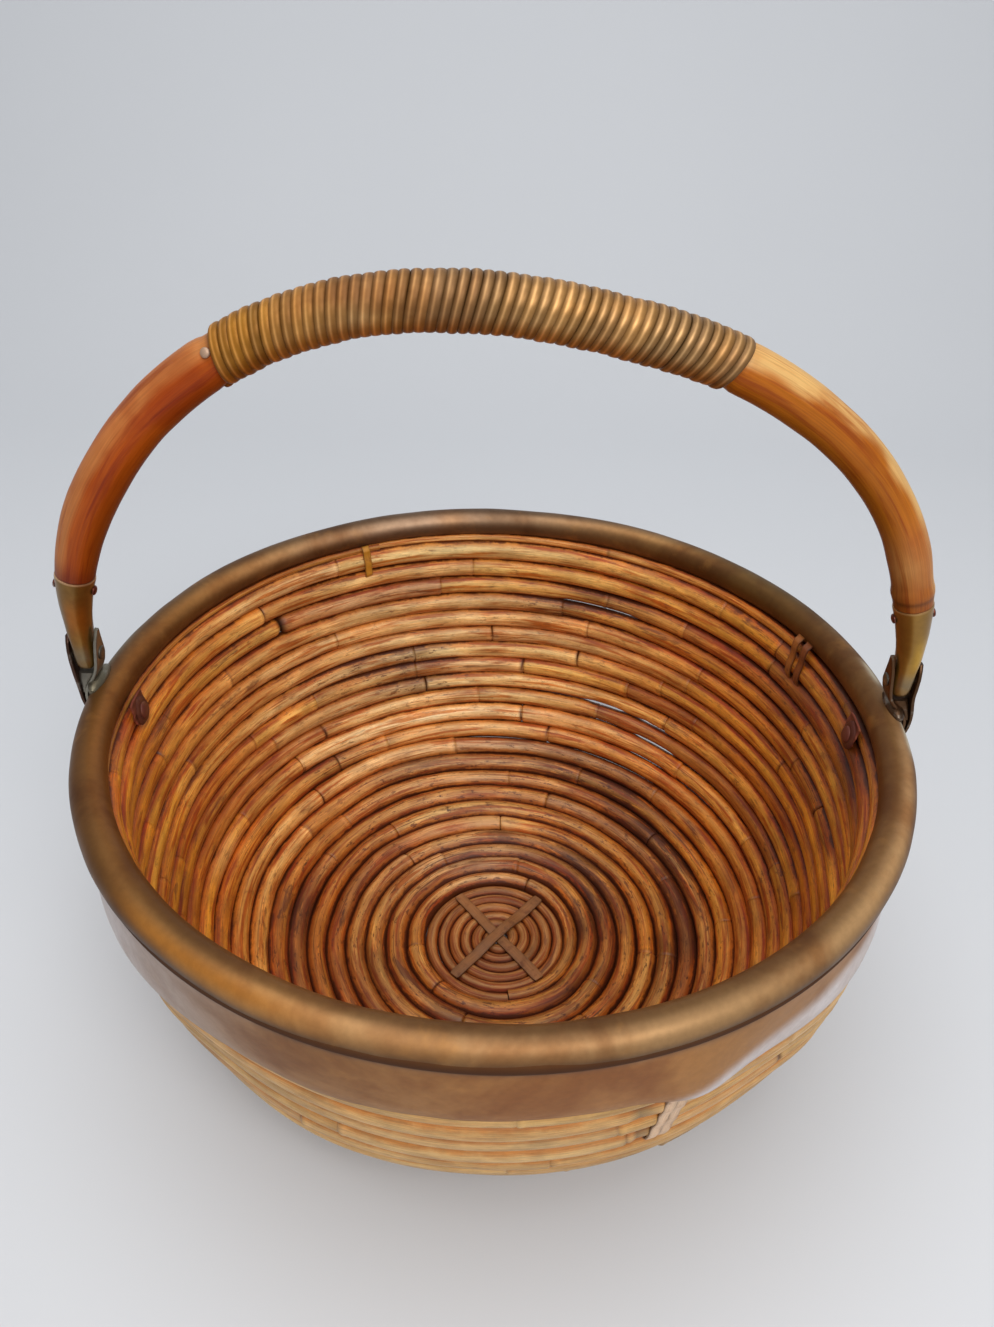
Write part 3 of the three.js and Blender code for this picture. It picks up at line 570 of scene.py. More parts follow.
# Inside colours with painted light: the back of the bowl is painted paler, as lit and sheened, and the sides
# are painted deeper orange, as shaded.
LIT_BACK_WALL = srgb(0.90, 0.70, 0.44)
SHADED_SIDE_WALL = srgb(0.79, 0.48, 0.13)
LIT_BACK_BASE = srgb(0.88, 0.65, 0.40)
SHADED_SIDE_BASE = srgb(0.84, 0.53, 0.21)
OUTSIDE = srgb(0.77, 0.60, 0.37)
AMBER = srgb(0.76, 0.50, 0.21)
BRASS = srgb(0.55, 0.40, 0.24)
BROWN_BRASS = srgb(0.42, 0.27, 0.11)
OLIVE_BRASS = srgb(0.54, 0.40, 0.17)
RUSTY_BRASS = srgb(0.66, 0.38, 0.10)
YELLOW_HIGHLIGHT_BRASS = srgb(0.80, 0.62, 0.22)
PALE_REFLECTION = srgb(0.84, 0.81, 0.81)
GREY_BRASS = srgb(0.64, 0.55, 0.49)
DARK_OLIVE = srgb(0.40, 0.30, 0.15)
BAND_BROWN = srgb(0.62, 0.42, 0.19)
GILT = srgb(0.72, 0.48, 0.22)
CANE_REFLECTION_TINT = np.array([1.15, 1.0, 0.72, 1])
# Paler crests of the cane: partly wear, partly painted highlight
CREST_WEAR_AND_HIGHLIGHT = np.array([1.16, 1.34, 1.60, 1])
SOLDER = srgb(0.50, 0.47, 0.39)
STEEL = srgb(0.52, 0.50, 0.45)
DARK_STEEL = srgb(0.30, 0.21, 0.17)
BROWN_STEEL = srgb(0.38, 0.27, 0.18)
RUST = srgb(0.42, 0.22, 0.17)
RUST_STAIN = srgb(0.66, 0.27, 0.10)
JOINT_DARK = srgb(0.30, 0.13, 0.05)
WORN_PALE = srgb(0.80, 0.77, 0.68)
# Marks on the bead: degrees, spread, degrees round the tube from outward over the top, spread, colour
BEAD_MARKS = [
    (173, 9, 42, 26, SOLDER), (2, 5, 30, 26, SOLDER), (8, 3, 66, 14, WORN_PALE), (-6, 4, 40, 14, WORN_PALE),
    (-122, 13, 48, 24, srgb(0.72, 0.46, 0.17)),
]

# Painted highlight along the bead and painted light level around it: degrees, degrees round its section, gain
# of the highlight there, level elsewhere
BEAD_HIGHLIGHTS = np.array([
    (-180, 125, 0.70, 0.85), (-150, 105, 0.40, 0.90), (-125, 47, 1.10, 0.60), (-100, 50, 1.45, 0.62),
    (-78, 42, 0.80, 0.62), (-20, 65, 1.30, 0.52), (30, 80, 0.10, 0.72), (60, 108, 0.80, 0.70),
    (90, 140, 0.40, 0.48), (115, 146, 1.20, 0.52), (140, 143, 1.70, 0.65), (160, 132, 0.75, 0.72),
    (180, 125, 0.70, 0.85),
])
# Paler, cooler tint of the painted highlight on the bead
HIGHLIGHT_TINT = np.array([1.0, 1.22, 1.6, 1])

CANE = cane_material("bowl_cane", 0.36)
CORE = cane_material("core_cane", 0.46)
STRIP = strip_material()
BOW = bow_material()
RIM = brass_material("rim_brass", 0.5, 0.42, 0.0)
BAND = brass_material("band_brass", 0.5, 0.42, 0.0)
SOCKET = brass_material("socket_brass", 0.7, 0.32, 0.2)
WIRE = brass_material("wire_brass", 0.4, 0.40, 0.0)
RUSTED = brass_material("rusted_iron", 0.15, 0.42, 0.0)
IRON = steel_material()


# Profile of the bowl, followed by the middle of the cane
def bowl_profile():
    start = np.array([BOWL_START_RADIUS, BASE_LINE])
    flat_end = np.array([BASE_FLAT_RADIUS, BASE_LINE])
    foot = np.array([WALL_FOOT_RADIUS, WALL_FOOT_LINE])
    top = np.array([WALL_TOP_RADIUS, WALL_TOP_LINE])
    rise = WALL_FOOT_LINE - BASE_LINE
    reach = PROFILE_ROUNDING * (WALL_FOOT_RADIUS - BASE_FLAT_RADIUS)
    drop = PROFILE_ROUNDING * rise
    pull_flat = flat_end + [reach, 0]
    pull_foot = foot - [drop * math.tan(WALL_LEAN), drop]
    t = np.linspace(0, 1, 900)[:, None]
    bend = (1 - t) ** 3 * flat_end + 3 * t * (1 - t) ** 2 * pull_flat
    bend += 3 * t * t * (1 - t) * pull_foot + t ** 3 * foot
    flat = np.linspace(start, flat_end, 200)
    wall = np.linspace(foot, top, 400)
    return np.vstack([flat[:-1], bend[:-1], wall])


WALL_LEAN = math.atan2(WALL_TOP_RADIUS - WALL_FOOT_RADIUS, WALL_TOP_LINE - WALL_FOOT_LINE)
FACET_SHRINK = math.sqrt(math.cos(math.pi / STEPS_PER_TURN))
PROFILE = bowl_profile()
PROFILE_PLACES = path_lengths(PROFILE)
PROFILE_LENGTH = PROFILE_PLACES[-1]
STATIONS = math.floor(PROFILE_LENGTH / (CANE_DIAMETER + COURSE_GAP) * STEPS_PER_TURN)
TURNS = STATIONS / STEPS_PER_TURN
PITCH = PROFILE_LENGTH / TURNS
START_ANGLE = math.radians(TAIL_END_DEG) - TURNS * TAU


def wall_push(degrees, height):
    """How far the wall stands out from its round shape: full at the front corners, flat at the front."""
    fullness = ease((height - 25) / 45) * ease((140 - height) / 40)
    spread = 12 + 8 * ease((height - 80) / 30)
    push = -FRONT_PULL * hump(degrees, FRONT_PULL_DEG, 24) * hump(height, FRONT_PULL_HEIGHT, 22)
    for spot, size in WALL_BULGES:
        push = push + size * fullness * hump(degrees, spot, spread)
    return push


def drifted(points):
    """Points of the coil as it sags: base to the right, wall fuller at the front corners, flatter between."""
    points = np.array(points)
    degrees = np.degrees(np.arctan2(points[..., 1], points[..., 0]))
    height = points[..., 2]
    reach = np.hypot(points[..., 0], points[..., 1])
    points[..., :2] *= (1 + wall_push(degrees, height) / np.maximum(reach, 1))[..., None]
    points[..., 0] += BASE_DRIFT * np.clip(1 - height / BASE_DRIFT_TOP, 0, 1)
    return points


def wall_radius(z):
    return WALL_TOP_RADIUS - (WALL_TOP_LINE - z) * math.tan(WALL_LEAN)


def profile_at(place):
    """Distance from the axis and height at places along the profile."""
    return np.stack([np.interp(place, PROFILE_PLACES, column) for column in PROFILE.T], -1)


def coil_line(turn):
    """Middle of the cane at a count of turns, the way along the profile, and the cane's radius there."""
    turn = np.asarray(turn, float)
    place = turn / TURNS * PROFILE_LENGTH
    slope = profile_at(place + 0.5) - profile_at(place - 0.5)
    slope = slope / np.linalg.norm(slope, axis=-1)[:, None]
    grown = np.minimum(1, turn)
    thinned = np.maximum(0, turn - (TURNS - 1))
    cane = CORE_DIAMETER / 2 + (CANE_DIAMETER - CORE_DIAMETER) / 2 * grown
    cane = cane + (TAIL_DIAMETER / 2 - cane) * thinned
    shift = np.where(thinned > 0, cane - CANE_DIAMETER / 2, CANE_DIAMETER / 2 - cane)
    middle = profile_at(place) + slope * shift[:, None]
    return middle, slope, cane


def cane_cuts():
    """Turns at which one length of cane ends and the next begins, as in the solid model."""
    turn = np.arange(STATIONS + 1) / STEPS_PER_TURN
    middle, slope, cane = coil_line(turn)
    rim = middle / FACET_SHRINK + slope * cane[:, None]
    angle = START_ANGLE + turn * TAU
    points = spun(angle, rim[:, 0], rim[:, 1])
    lengths = path_lengths(points)
    cuts = []
    for count in range(1, CANE_COUNT):
        station = int(np.argmax(lengths > lengths[-1] * count / CANE_COUNT)) - 1
        cuts.append((station + 0.5) / STEPS_PER_TURN)
    return cuts


# Places, in turns of the coil, of butt joints and of the rings at the cane's nodes
SEEN_JOINTS = [
    0.41, 0.86, 1.93, 3.09, 3.60, 6.43, 8.12, 10.44, 10.60, 11.46, 12.60, 13.36, 14.46,
    15.10, 16.27, 16.48, 17.26, 18.72, 19.61, 20.30, 20.62, 21.30,
]
SEEN_NODES = [
    0.76, 1.44, 2.14, 9.51, 10.56, 11.34, 12.49, 13.90, 14.34, 14.39, 14.53, 14.60, 14.65,
    15.53, 17.42, 19.36, 19.51, 21.34, 21.57,
]
# Places where a piece is missing: the cane is thinned there and painted dark, as painted shadow in the gap
NOTCHES = [15.034, 17.032, 19.61]
# Slits where two courses part, as the turn below, and the span of degrees
SLITS = [(18.4, 58, 79), (12.4, 58, 71), (12.4, 51, 57), (11.4, 43, 58)]
# Dark stains: degrees, place along the profile, spreads of both, strength
STAINS = [
    (122, 146, 15, 5, 0.75), (114, 84, 14, 4, 0.8), (90, 86, 14, 4, 0.7), (70, 84, 14, 8, 0.95),
    (52, 80, 13, 9, 0.95), (38, 73, 12, 8, 0.95), (26, 67, 11, 7, 0.9), (12, 62, 12, 6, 0.9),
    (-4, 58, 10, 4, 0.7), (48, 32, 22, 9, 0.95), (28, 24, 18, 8, 0.9), (8, 14, 18, 7, 0.9),
    (-42, 14, 16, 6, 0.9), (-65, 15, 12, 4, 0.7), (178, 66, 9, 5, 0.9), (-171, 69, 9, 4, 0.85),
    (165, 42, 12, 4, 0.6), (-168, 30, 12, 4, 0.6), (88, 34, 8, 3, 0.7), (168, 90, 8, 3, 0.5),
    (-150, 30, 30, 8, 0.35), (-90, 48, 40, 12, 0.35), (150, 192, 8, 4, 0.45), (20, 190, 14, 18, 0.35),
    (5, 120, 10, 20, 0.4), (-4, 200, 6, 12, 0.9),
]
# Pale worn places, in the same terms
WORN_PLACES = [
    (96, 42, 22, 4, 0.9), (120, 44, 12, 4, 0.7), (50, 56, 24, 3, 0.5), (175, 113, 14, 4, 0.6),
    (146, 140, 6, 4, 0.5), (172, 50, 14, 5, 0.4), (-115, 30, 20, 5, 0.4), (-48, 165, 20, 25, 0.5),
]


def coil_marks(lengths_at, total):
    """Joints and nodes as places along the cane, with seeded ones between those seen."""
    rng = np.random.RandomState(7)
    joints = [float(lengths_at(turn)) for turn in SEEN_JOINTS + cane_cuts()]
    nodes = [float(lengths_at(turn)) for turn in SEEN_NODES]
    place = 60.0
    while place < total - 60:
        clear = min(abs(place - mark) for mark in joints + nodes)
        if clear > 45:
            nodes.append(place)
        place += rng.uniform(95, 230)
    return sorted(joints), sorted(nodes)


def bowl_tone(degrees, place):
    """Colour of the inside by place, with painted light: paler at the back of the bowl as painted highlight
    and sheen, deeper orange at its sides as painted shade.
    """
    back = hump(degrees, 106, 44)[:, None]
    up = ease((place - 70) / 60)[:, None]
    base = SHADED_SIDE_BASE + (LIT_BACK_BASE - SHADED_SIDE_BASE) * back
    wall = SHADED_SIDE_WALL + (LIT_BACK_WALL - SHADED_SIDE_WALL) * back
    return base + (wall - base) * up


def pick_tint(rng):
    """Change of colour from one internode to the next, as shares of red, green and blue."""
    palette = np.array([
        [1.00, 1.00, 1.00], [1.16, 1.36, 1.70], [1.10, 1.12, 0.85], [0.95, 0.83, 0.60], [0.76, 0.64, 0.68],
        [0.96, 1.04, 1.26],
    ])
    first, second = rng.choice(6, 2, p=[0.24, 0.20, 0.22, 0.18, 0.06, 0.10])
    share = rng.uniform(0, 1)
    tint = palette[first] * (1 - share) + palette[second] * share
    return np.append(tint * rng.uniform(0.86, 1.12), 1)


def add_filler(shape):
    """A thin strand that fills the step under the bead, past the end of the coil."""
    turn = np.linspace(TURNS - FILLER_START, TURNS - FILLER_END, FILLER_STEPS)
    middle, slope, cane = coil_line(turn)
    share = np.linspace(0, 1, FILLER_STEPS)
    thick = FILLER_GIRTH * (1 - 0.55 * share) * varied(0.12, 25, 0.05, share)
    middle = middle + slope * (cane * CANE_FULLNESS + thick * 0.6)[:, None]
    angle = START_ANGLE + turn * TAU
    line = spun(angle, middle[:, 0], middle[:, 1])
    inward = spun(angle, -1, np.zeros(FILLER_STEPS))
    rings = sweep(line, UPWARD, inward, thick, thick, 12)
    tints = np.outer(varied(0.15, 26, 0.08, share), AMBER)
    tints[:, 3] = 1
    shape.tube(rings, path_lengths(line), tints)


class Coil:
    """The bowl's cane as one line: stations along it, closer at its marks, and where each one lies."""

    def __init__(self):
        self.fine_turns = np.linspace(0, TURNS, COIL_SAMPLES)
        middle, _, _ = coil_line(self.fine_turns)
        line = spun(START_ANGLE + self.fine_turns * TAU, middle[:, 0], middle[:, 1])
        self.fine_places = path_lengths(line)
        total = self.fine_places[-1]
        self.joints, nodes = coil_marks(self.place_of, total)
        self.marks = np.array(sorted(self.joints + nodes))
        close = np.array([0.1, 0.3, 0.6, 1.0, 1.5, 2.2, 3.2])
        near_marks = [mark + way * close for mark in self.marks for way in (-1, 1)]
        ends = np.array([0.3, 1.0, total - 1.0, total - 0.3])
        stations = np.concatenate([np.arange(0, total, CANE_STEP), ends] + near_marks)
        stations = np.unique(np.round(stations, 2))
        self.stations = stations[(stations > 0) & (stations < total)]
        self.turn = np.interp(self.stations, self.fine_places, self.fine_turns)
        self.degrees = half_turn(np.degrees(START_ANGLE + self.turn * TAU))
        self.profile_place = self.turn * PITCH

    def place_of(self, turn):
        """Length of cane up to a count of turns."""
        return np.interp(turn, self.fine_turns, self.fine_places)

    def spot(self, degrees, place, spread, depth):
        """A soft spot on the wall, as a share at each station."""
        return hump(half_turn(self.degrees - degrees), 0, spread) * hump(self.profile_place, place, depth)


def cane_wear(coil):
    """How clean the cane is: below 1 where it is stained, above 1 where it is rubbed pale."""
    worn = np.zeros(len(coil.stations))
    for degrees, place, spread, depth, strength in WORN_PLACES:
        worn = np.maximum(worn, strength * coil.spot(degrees, place, spread, depth))
    clean = 1 - 0.40 * (1 - ease((coil.profile_place - 55) / 50))
    for degrees, place, spread, depth, strength in STAINS:
        clean *= 1 - strength * coil.spot(degrees, place, spread, depth)
    for mark in coil.marks[4::9]:
        clean *= 1 - 0.55 * hump(coil.stations, mark, 22)
    return clean * (1 - worn) + (1 + worn) * worn


def cane_skin(coil):
    """Colour and share of thickness: internodes that differ, rings at the nodes, butt joints and notches."""
    rng = np.random.RandomState(21)
    stations = coil.stations
    internode = np.searchsorted(coil.marks, stations)
    shades = np.array([pick_tint(rng) for _ in range(len(coil.marks) + 1)])
    girths = np.maximum(0.965, rng.uniform(0.93, 1.08, len(coil.marks) + 1))
    girth = girths[internode] * varied(0.02, 3, 35, stations)
    around = np.arange(CANE_SIDES) * TAU / CANE_SIDES
    inside = ease((np.sin(around) + 0.25) / 0.5)[None, :, None]
    shade = shades[internode] * varied(0.10, 5, 22, stations)[:, None]
    tone = bowl_tone(coil.degrees, coil.profile_place)[:, None, :]
    calm = 1 + (shade - 1) * 0.4
    tint = tone * shade[:, None, :] * inside + (OUTSIDE * calm)[:, None, :] * (1 - inside)
    for mark in coil.marks:
        skew = rng.uniform(0, 0.9) * np.cos(around + rng.uniform(0, TAU))
        straight = stations - mark
        away = straight[:, None] - skew
        strength = rng.uniform(0.12, 0.40)
        if mark in coil.joints:
            strength = 0.85
            girth = girth - 0.12 * hump(straight, 0, 0.35) - 0.03 * hump(straight, 0, 1.2)
        else:
            girth = girth + 0.04 * hump(straight, 1.3, 1.1) - 0.05 * hump(straight, 0, 0.45)
        patchy = 0.6 + 0.4 * np.cos(2 * around + rng.uniform(0, TAU))
        width = rng.uniform(0.5, 1.1)
        dark = strength * patchy * hump(away, 0, width) + 0.10 * hump(away, 0, 6)
        tint = toward(tint, JOINT_DARK, dark)
        tint = tint * (1 + 0.22 * hump(away, 2.4, 1.1))[:, :, None]
    # Each notch thins the cane and is painted dark as painted shadow in the gap, with a lighter band beyond
    # it
    for notch in NOTCHES:
        away = stations - coil.place_of(notch)
        girth = girth - 0.30 * hump(away, 0, 1.8)
        tint = tint * (1 - 0.85 * hump(away, 0, 2.2) + 0.25 * hump(away, 5, 2))[:, None, None]
    for degrees in RIVET_STAINS_DEG:
        rust = 0.75 * coil.spot(degrees, PROFILE_LENGTH - RIVET_DROP - 1, 4.5, 8)
        tint = toward(tint, RUST_STAIN, rust[:, None])
    tint[:, :, 3] = cane_wear(coil)[:, None]
    return tint, girth


def cane_rings(coil, girth):
    """Rings of the cane. Courses wave together, so that they stay close except at the slits."""
    middle, slope, cane = coil_line(coil.turn)
    normal = np.stack([-slope[:, 1], slope[:, 0]], -1)
    angle = np.radians(coil.degrees)
    sway = np.zeros(len(angle))
    heave = 0.22 * line_noise(13, 45, coil.stations)
    for layer, (knots, period) in enumerate(((9, 150), (15, 90), (23, 70))):
        wave = np.cos(TAU * coil.profile_place / period + layer)
        sway += 0.55 * round_noise(14 + layer, knots, angle) * wave
        heave += 0.25 * round_noise(17 + layer, knots, angle) * wave
    thin = np.zeros(len(angle))
    for below, low_deg, high_deg in SLITS:
        span = ease((coil.degrees - low_deg) / 4) * ease((high_deg - coil.degrees) / 4)
        near = (np.abs(coil.turn - below) < 0.5) | (np.abs(coil.turn - below - 1) < 0.5)
        thin = np.maximum(thin, span * near)
    cane = (cane * CANE_FULLNESS * girth * (1 - 0.14 * thin))[:, None]
    settle = np.minimum(1, np.minimum(coil.turn, TURNS - coil.turn) / 1.5)
    middle = middle + slope * (sway * settle)[:, None] + normal * heave[:, None]
    cosine, sine = circle(CANE_SIDES)
    out = middle[:, :1] + cane * (cosine * slope[:, :1] + sine * normal[:, :1])
    up = middle[:, 1:] + cane * (cosine * slope[:, 1:] + sine * normal[:, 1:])
    return drifted(spun(angle[:, None], out, np.maximum(up, FLOOR_CLEAR)))


def build_canes():
    """One piece for each length of cane in the solid model."""
    coil = Coil()
    tint, girth = cane_skin(coil)
    rings = cane_rings(coil, girth)
    cuts = coil.place_of([0.0] + cane_cuts() + [TURNS])
    for number in range(CANE_COUNT):
        chosen = (coil.stations > cuts[number]) & (coil.stations < cuts[number + 1])
        shape = Shape().tube(rings[chosen], coil.stations[chosen], tint[chosen])
        if number == CANE_COUNT - 1:
            add_filler(shape)
        name = f"bowl_cane_{number + 1:02d}"
        shape.build(f"coiled_{name}", CANE, "basket", "cane", [name])


def build_core():
    steps = int(CORE_TURNS * CORE_STEPS_PER_TURN)
    left = np.linspace(-CORE_TURNS, 0, steps)
    angle = START_ANGLE + left * TAU
    reach = np.interp(left, [-CORE_TURNS, -1, 0], [CORE_START_RADIUS, CORE_LAST_TURN, CORE_END_RADIUS])
    line = spun(angle, reach, np.full(steps, CORE_LINE))
    places = path_lengths(line)
    line[:, 2] += 0.3 * line_noise(31, 14, places)
    outward = spun(angle, 1, np.zeros(steps))
    girth = CORE_DIAMETER / 2 * varied(0.05, 32, 12, places)
    rings = sweep(line, outward, UPWARD, girth, girth * 1.05, 14)
    rings[:, :, 2] = np.maximum(rings[:, :, 2], FLOOR_CLEAR)
    shade = 1 + 0.14 * line_noise(33, 30, places) + 0.08 * line_noise(35, 7, places)
    tints = np.outer(shade, srgb(0.68, 0.44, 0.22))
    tints[:, 3] = 0.88 + 0.12 * line_noise(34, 18, places)
    shape = Shape().tube(drifted(rings), places, tints)
    shape.build("coiled_core", CORE, "basket", "thin_cane", ["core_coil"])


def build_hoop():
    reach = BEAD_OUTER_RADIUS - BEAD_TUBE
    start = math.radians(TAIL_END_DEG)
    gap = 0.5 / reach
    angle = np.linspace(start + gap, start + TAU - gap, HOOP_STEPS)
    outward = spun(angle, 1, np.zeros(HOOP_STEPS))
    line = outward * reach + [0, 0, RIM_HEIGHT]
    rings = sweep(line, outward, UPWARD, CANE_DIAMETER / 2, CANE_DIAMETER / 2, 14)
    shape = Shape().tube(rings, path_lengths(line), np.tile(AMBER * [0.7, 0.7, 0.7, 1], (HOOP_STEPS, 1)))
    shape.build("hoop_in_bead", CANE, "basket", "cane", ["rim_hoop"])


# Brass rim
def front_share(degrees):
    return hump(degrees, -90, 55)


def rim_tint(angle, start, patches):
    tint = np.repeat(start[None, :], len(angle), axis=0)
    degrees = np.degrees(angle)
    for spot, spread, colour, strength in patches:
        away = half_turn(degrees - spot)
        share = strength * hump(away, 0, spread)
        tint = toward(tint, colour, share)
    return tint


def bead_tints(angle, arc):
    """Brown on the left, a painted highlight along the crest, painted reflection of the cane on the inside,
    painted shade below, grey at the solder.
    """
    degrees = half_turn(np.degrees(angle))
    arc_deg = np.degrees(arc)
    tints = rim_tint(angle, BRASS * 0.95, [
        (190, 36, BROWN_BRASS, 0.95), (-140, 22, BROWN_BRASS, 0.85), (-112, 9, GILT, 0.25),
        (100, 26, GREY_BRASS, 0.35), (100, 3, GILT, 0.25), (36, 19, DARK_OLIVE, 0.8),
        (-75, 26, BRASS, 0.8), (-28, 30, BRASS * 1.3, 0.8),
    ])
    # Painted reflection of the orange cane on the inward side of the bead, weaker at the back
    inward = np.outer(1 - 0.8 * hump(degrees, 120, 42), ease((0.1 - np.cos(arc)) / 0.8))
    tints = tints[:, None, :] * (1 + inward[:, :, None] * (CANE_REFLECTION_TINT - 1))
    # Painted highlight along the crest and painted light level elsewhere, by angle round the rim
    shine = [np.interp(degrees, BEAD_HIGHLIGHTS[:, 0], column)[:, None] for column in BEAD_HIGHLIGHTS.T[1:]]
    crest_deg, gain, level = shine
    crest = gain * hump(arc_deg, crest_deg, 26 + 9 * front_share(degrees)[:, None])
    left = hump(half_turn(degrees - 175), 0, 45)
    rubbed = 1 + (1 - left)[:, None] * (HIGHLIGHT_TINT - 1)
    outside = arc_deg < 90
    # Painted shade on the lower outside of the bead
    below = ease((20 - arc_deg) / 45) * outside
    tints = tints * ((level - 0.36 * below)[:, :, None] + crest[:, :, None] * rubbed[:, None, :])
    scuffed = np.zeros(tints.shape[:2])
    for spot, spread, arc_spot, arc_spread, colour in BEAD_MARKS:
        along = np.exp(-(half_turn(degrees - spot) / spread) ** 4)
        share = 0.85 * np.outer(along, hump(arc_deg, arc_spot, arc_spread))
        tints = toward(tints, colour, share)
        scuffed = np.maximum(scuffed, share * (colour is WORN_PALE))
    # Painted shade on the underside of the bead, dull and dark brown, except where it is scuffed
    painted_shade = 0.55 * ease((10 - arc_deg) / 40) * outside
    tints[:, :, 3] = 1 + painted_shade * (1 - scuffed) - 0.9 * scuffed
    return tints


def build_bead():
    angle = np.arange(RIM_STEPS) * TAU / RIM_STEPS
    front = front_share(half_turn(np.degrees(angle)))
    outer_arc = np.radians(np.linspace(*BEAD_SPAN_DEG, 34))
    inner_arc = outer_arc[::-3]
    arc = np.concatenate([outer_arc, inner_arc])
    sheet = np.concatenate([np.zeros(len(outer_arc)), np.full(len(inner_arc), BEAD_WALL)])
    tube = BEAD_TUBE - 0.2 - 0.3 * front
    reach = BEAD_OUTER_RADIUS - BEAD_TUBE - 0.6 * front + 0.25 * round_noise(41, 26, angle)
    height = RIM_HEIGHT + FRONT_RISE * front + 0.30 * round_noise(42, 18, angle)
    swell = 1 + 0.025 * round_noise(43, 34, angle) + 0.012 * round_noise(44, 90, angle)
    radius = (swell * tube)[:, None] - sheet
    out = reach[:, None] + radius * np.cos(arc)
    up = height[:, None] + radius * np.sin(arc)
    rings = spun(angle[:, None], out, up)
    shape = Shape().tube(rings, angle * BEAD_OUTER_RADIUS, bead_tints(angle, arc), closed=True)
    shape.build("rolled_bead", RIM, "basket", "aged_brass", ["rim_bead"])


def band_tints(angle, across, lip_shade):
    """Brown at the front, with painted shade under the bead, and a painted reflection of the pale floor: grey
    on the left, pale low down on the right.
    """
    degrees = half_turn(np.degrees(angle))
    west = np.where(degrees > 90, degrees - 360, degrees)
    tints = rim_tint(angle, BAND_BROWN, [
        (-84, 12, GILT, 0.5), (-115, 14, BAND_BROWN * 0.85, 0.6), (-72, 8, GILT, 0.35), (60, 30, GILT, 0.25),
        (150, 25, BAND_BROWN * 0.8, 0.6),
    ])
    tints = np.repeat(tints[:, None, :], len(across), axis=1)
    # Painted reflection of the pale floor where the band turns away: pale low down on the right, grey and
    # paler on the left
    right = ease((degrees - BULGE_DEG + 8) / 6) * ease((22 - degrees) / 30)
    right_line = np.interp(degrees, [BULGE_DEG - 6, BULGE_DEG + 2, -46, -10], [1.02, 0.58, 0.42, 0.32])
    bare = ease((across - right_line[:, None]) / 0.3) * right[:, None]
    left = ease((-110 - west) / 20) * ease((west + 205) / 35)
    left_reflection = np.broadcast_to(left[:, None], bare.shape)
    paler = ease((-122 - west) / 24)[:, None] * left_reflection
    tints = toward(tints, GREY_BRASS, 0.85 * left_reflection)
    tints = toward(tints, PALE_REFLECTION, np.maximum(0.92 * bare, 0.6 * paler))
    # Painted shade: darker and dull under the bead, and fully dark on the band's swollen lip
    under = 1 - ease((across - 0.10) / 0.14)
    tints = tints * (1 - 0.3 * under)[:, None]
    tints[:, :, 3] = (1 - 0.6 * np.maximum(bare, left_reflection)) * (1 - under) + 1.5 * under
    tints[:, :, 3] += lip_shade * (2 - tints[:, :, 3])
    return tints


def build_band():
    angle = np.arange(RIM_STEPS) * TAU / RIM_STEPS
    degrees = half_turn(np.degrees(angle))
    front = front_share(degrees)
    down = np.linspace(0, 1, BAND_ROWS) ** 1.4
    arched = np.sin(math.pi * down)
    dip = 2.2 * hump(degrees, DIP_DEG, 7) + 3.4 * hump(degrees, BULGE_DEG, 4)
    foot = BAND_TOP - BAND_HEIGHT - dip + 0.9 * round_noise(51, 30, angle) + 0.3 * round_noise(52, 90, angle)
    top = BAND_TOP + BAND_TUCK + BAND_FRONT_TUCK * front
    height = top[:, None] + (foot - top)[:, None] * down
    dents = 0.30 * round_noise(53, 40, angle)[:, None] * arched
    dents = dents + 0.25 * round_noise(54, 22, angle)[:, None] * down
    lip_height = (LIP_HEIGHT + LIP_FRONT_RISE * front)[:, None]
    lip_spread = (1.6 + 0.9 * front)[:, None]
    lip = (1.2 + 0.4 * front)[:, None] * hump(height, lip_height, lip_spread)
    bulge = 2.8 * hump(degrees, BULGE_DEG, 6)[:, None] * ease(down * 1.1)
    outer = BAND_TOP_RADIUS - (BAND_TOP - height) * math.tan(WALL_LEAN) + 0.7 * arched + lip + dents
    outer = outer + bulge - 0.5 * ease((down - 0.85) / 0.15) + wall_push(degrees[:, None], height)
    inner = outer - BAND_THICKNESS
    edge = (outer[:, -1:] + inner[:, -1:]) / 2
    out = np.concatenate([outer, edge, inner[:, ::-1]], axis=1)
    up = np.concatenate([height, height[:, -1:] - 0.4, height[:, ::-1]], axis=1)
    # Where the band's swollen lip is painted dark as shade
    lip_shade = hump(height, lip_height, 0.8 * lip_spread)
    lip_shade = np.concatenate([lip_shade, lip_shade[:, -1:], lip_shade[:, ::-1]], axis=1)
    across = np.concatenate([down, [1.0], down[::-1]])
    rings = spun(angle[:, None], out, up)
    shape = Shape().tube(rings, angle * BAND_TOP_RADIUS, band_tints(angle, across, lip_shade), closed=True)
    shape.build("skirt_band", BAND, "basket", "aged_brass", ["rim_band"])


# Flat strips of split cane
def edged(shade, colour, edge):
    """Colours of a strip, varied along its length and scaled towards its edges: darker as painted shade on
    the cane strips, paler on the torn scrap.
    """
    tints = np.outer(shade, colour)[:, None, :] * edge[None, :, None]
    tints[:, :, 3] = 1
    return tints


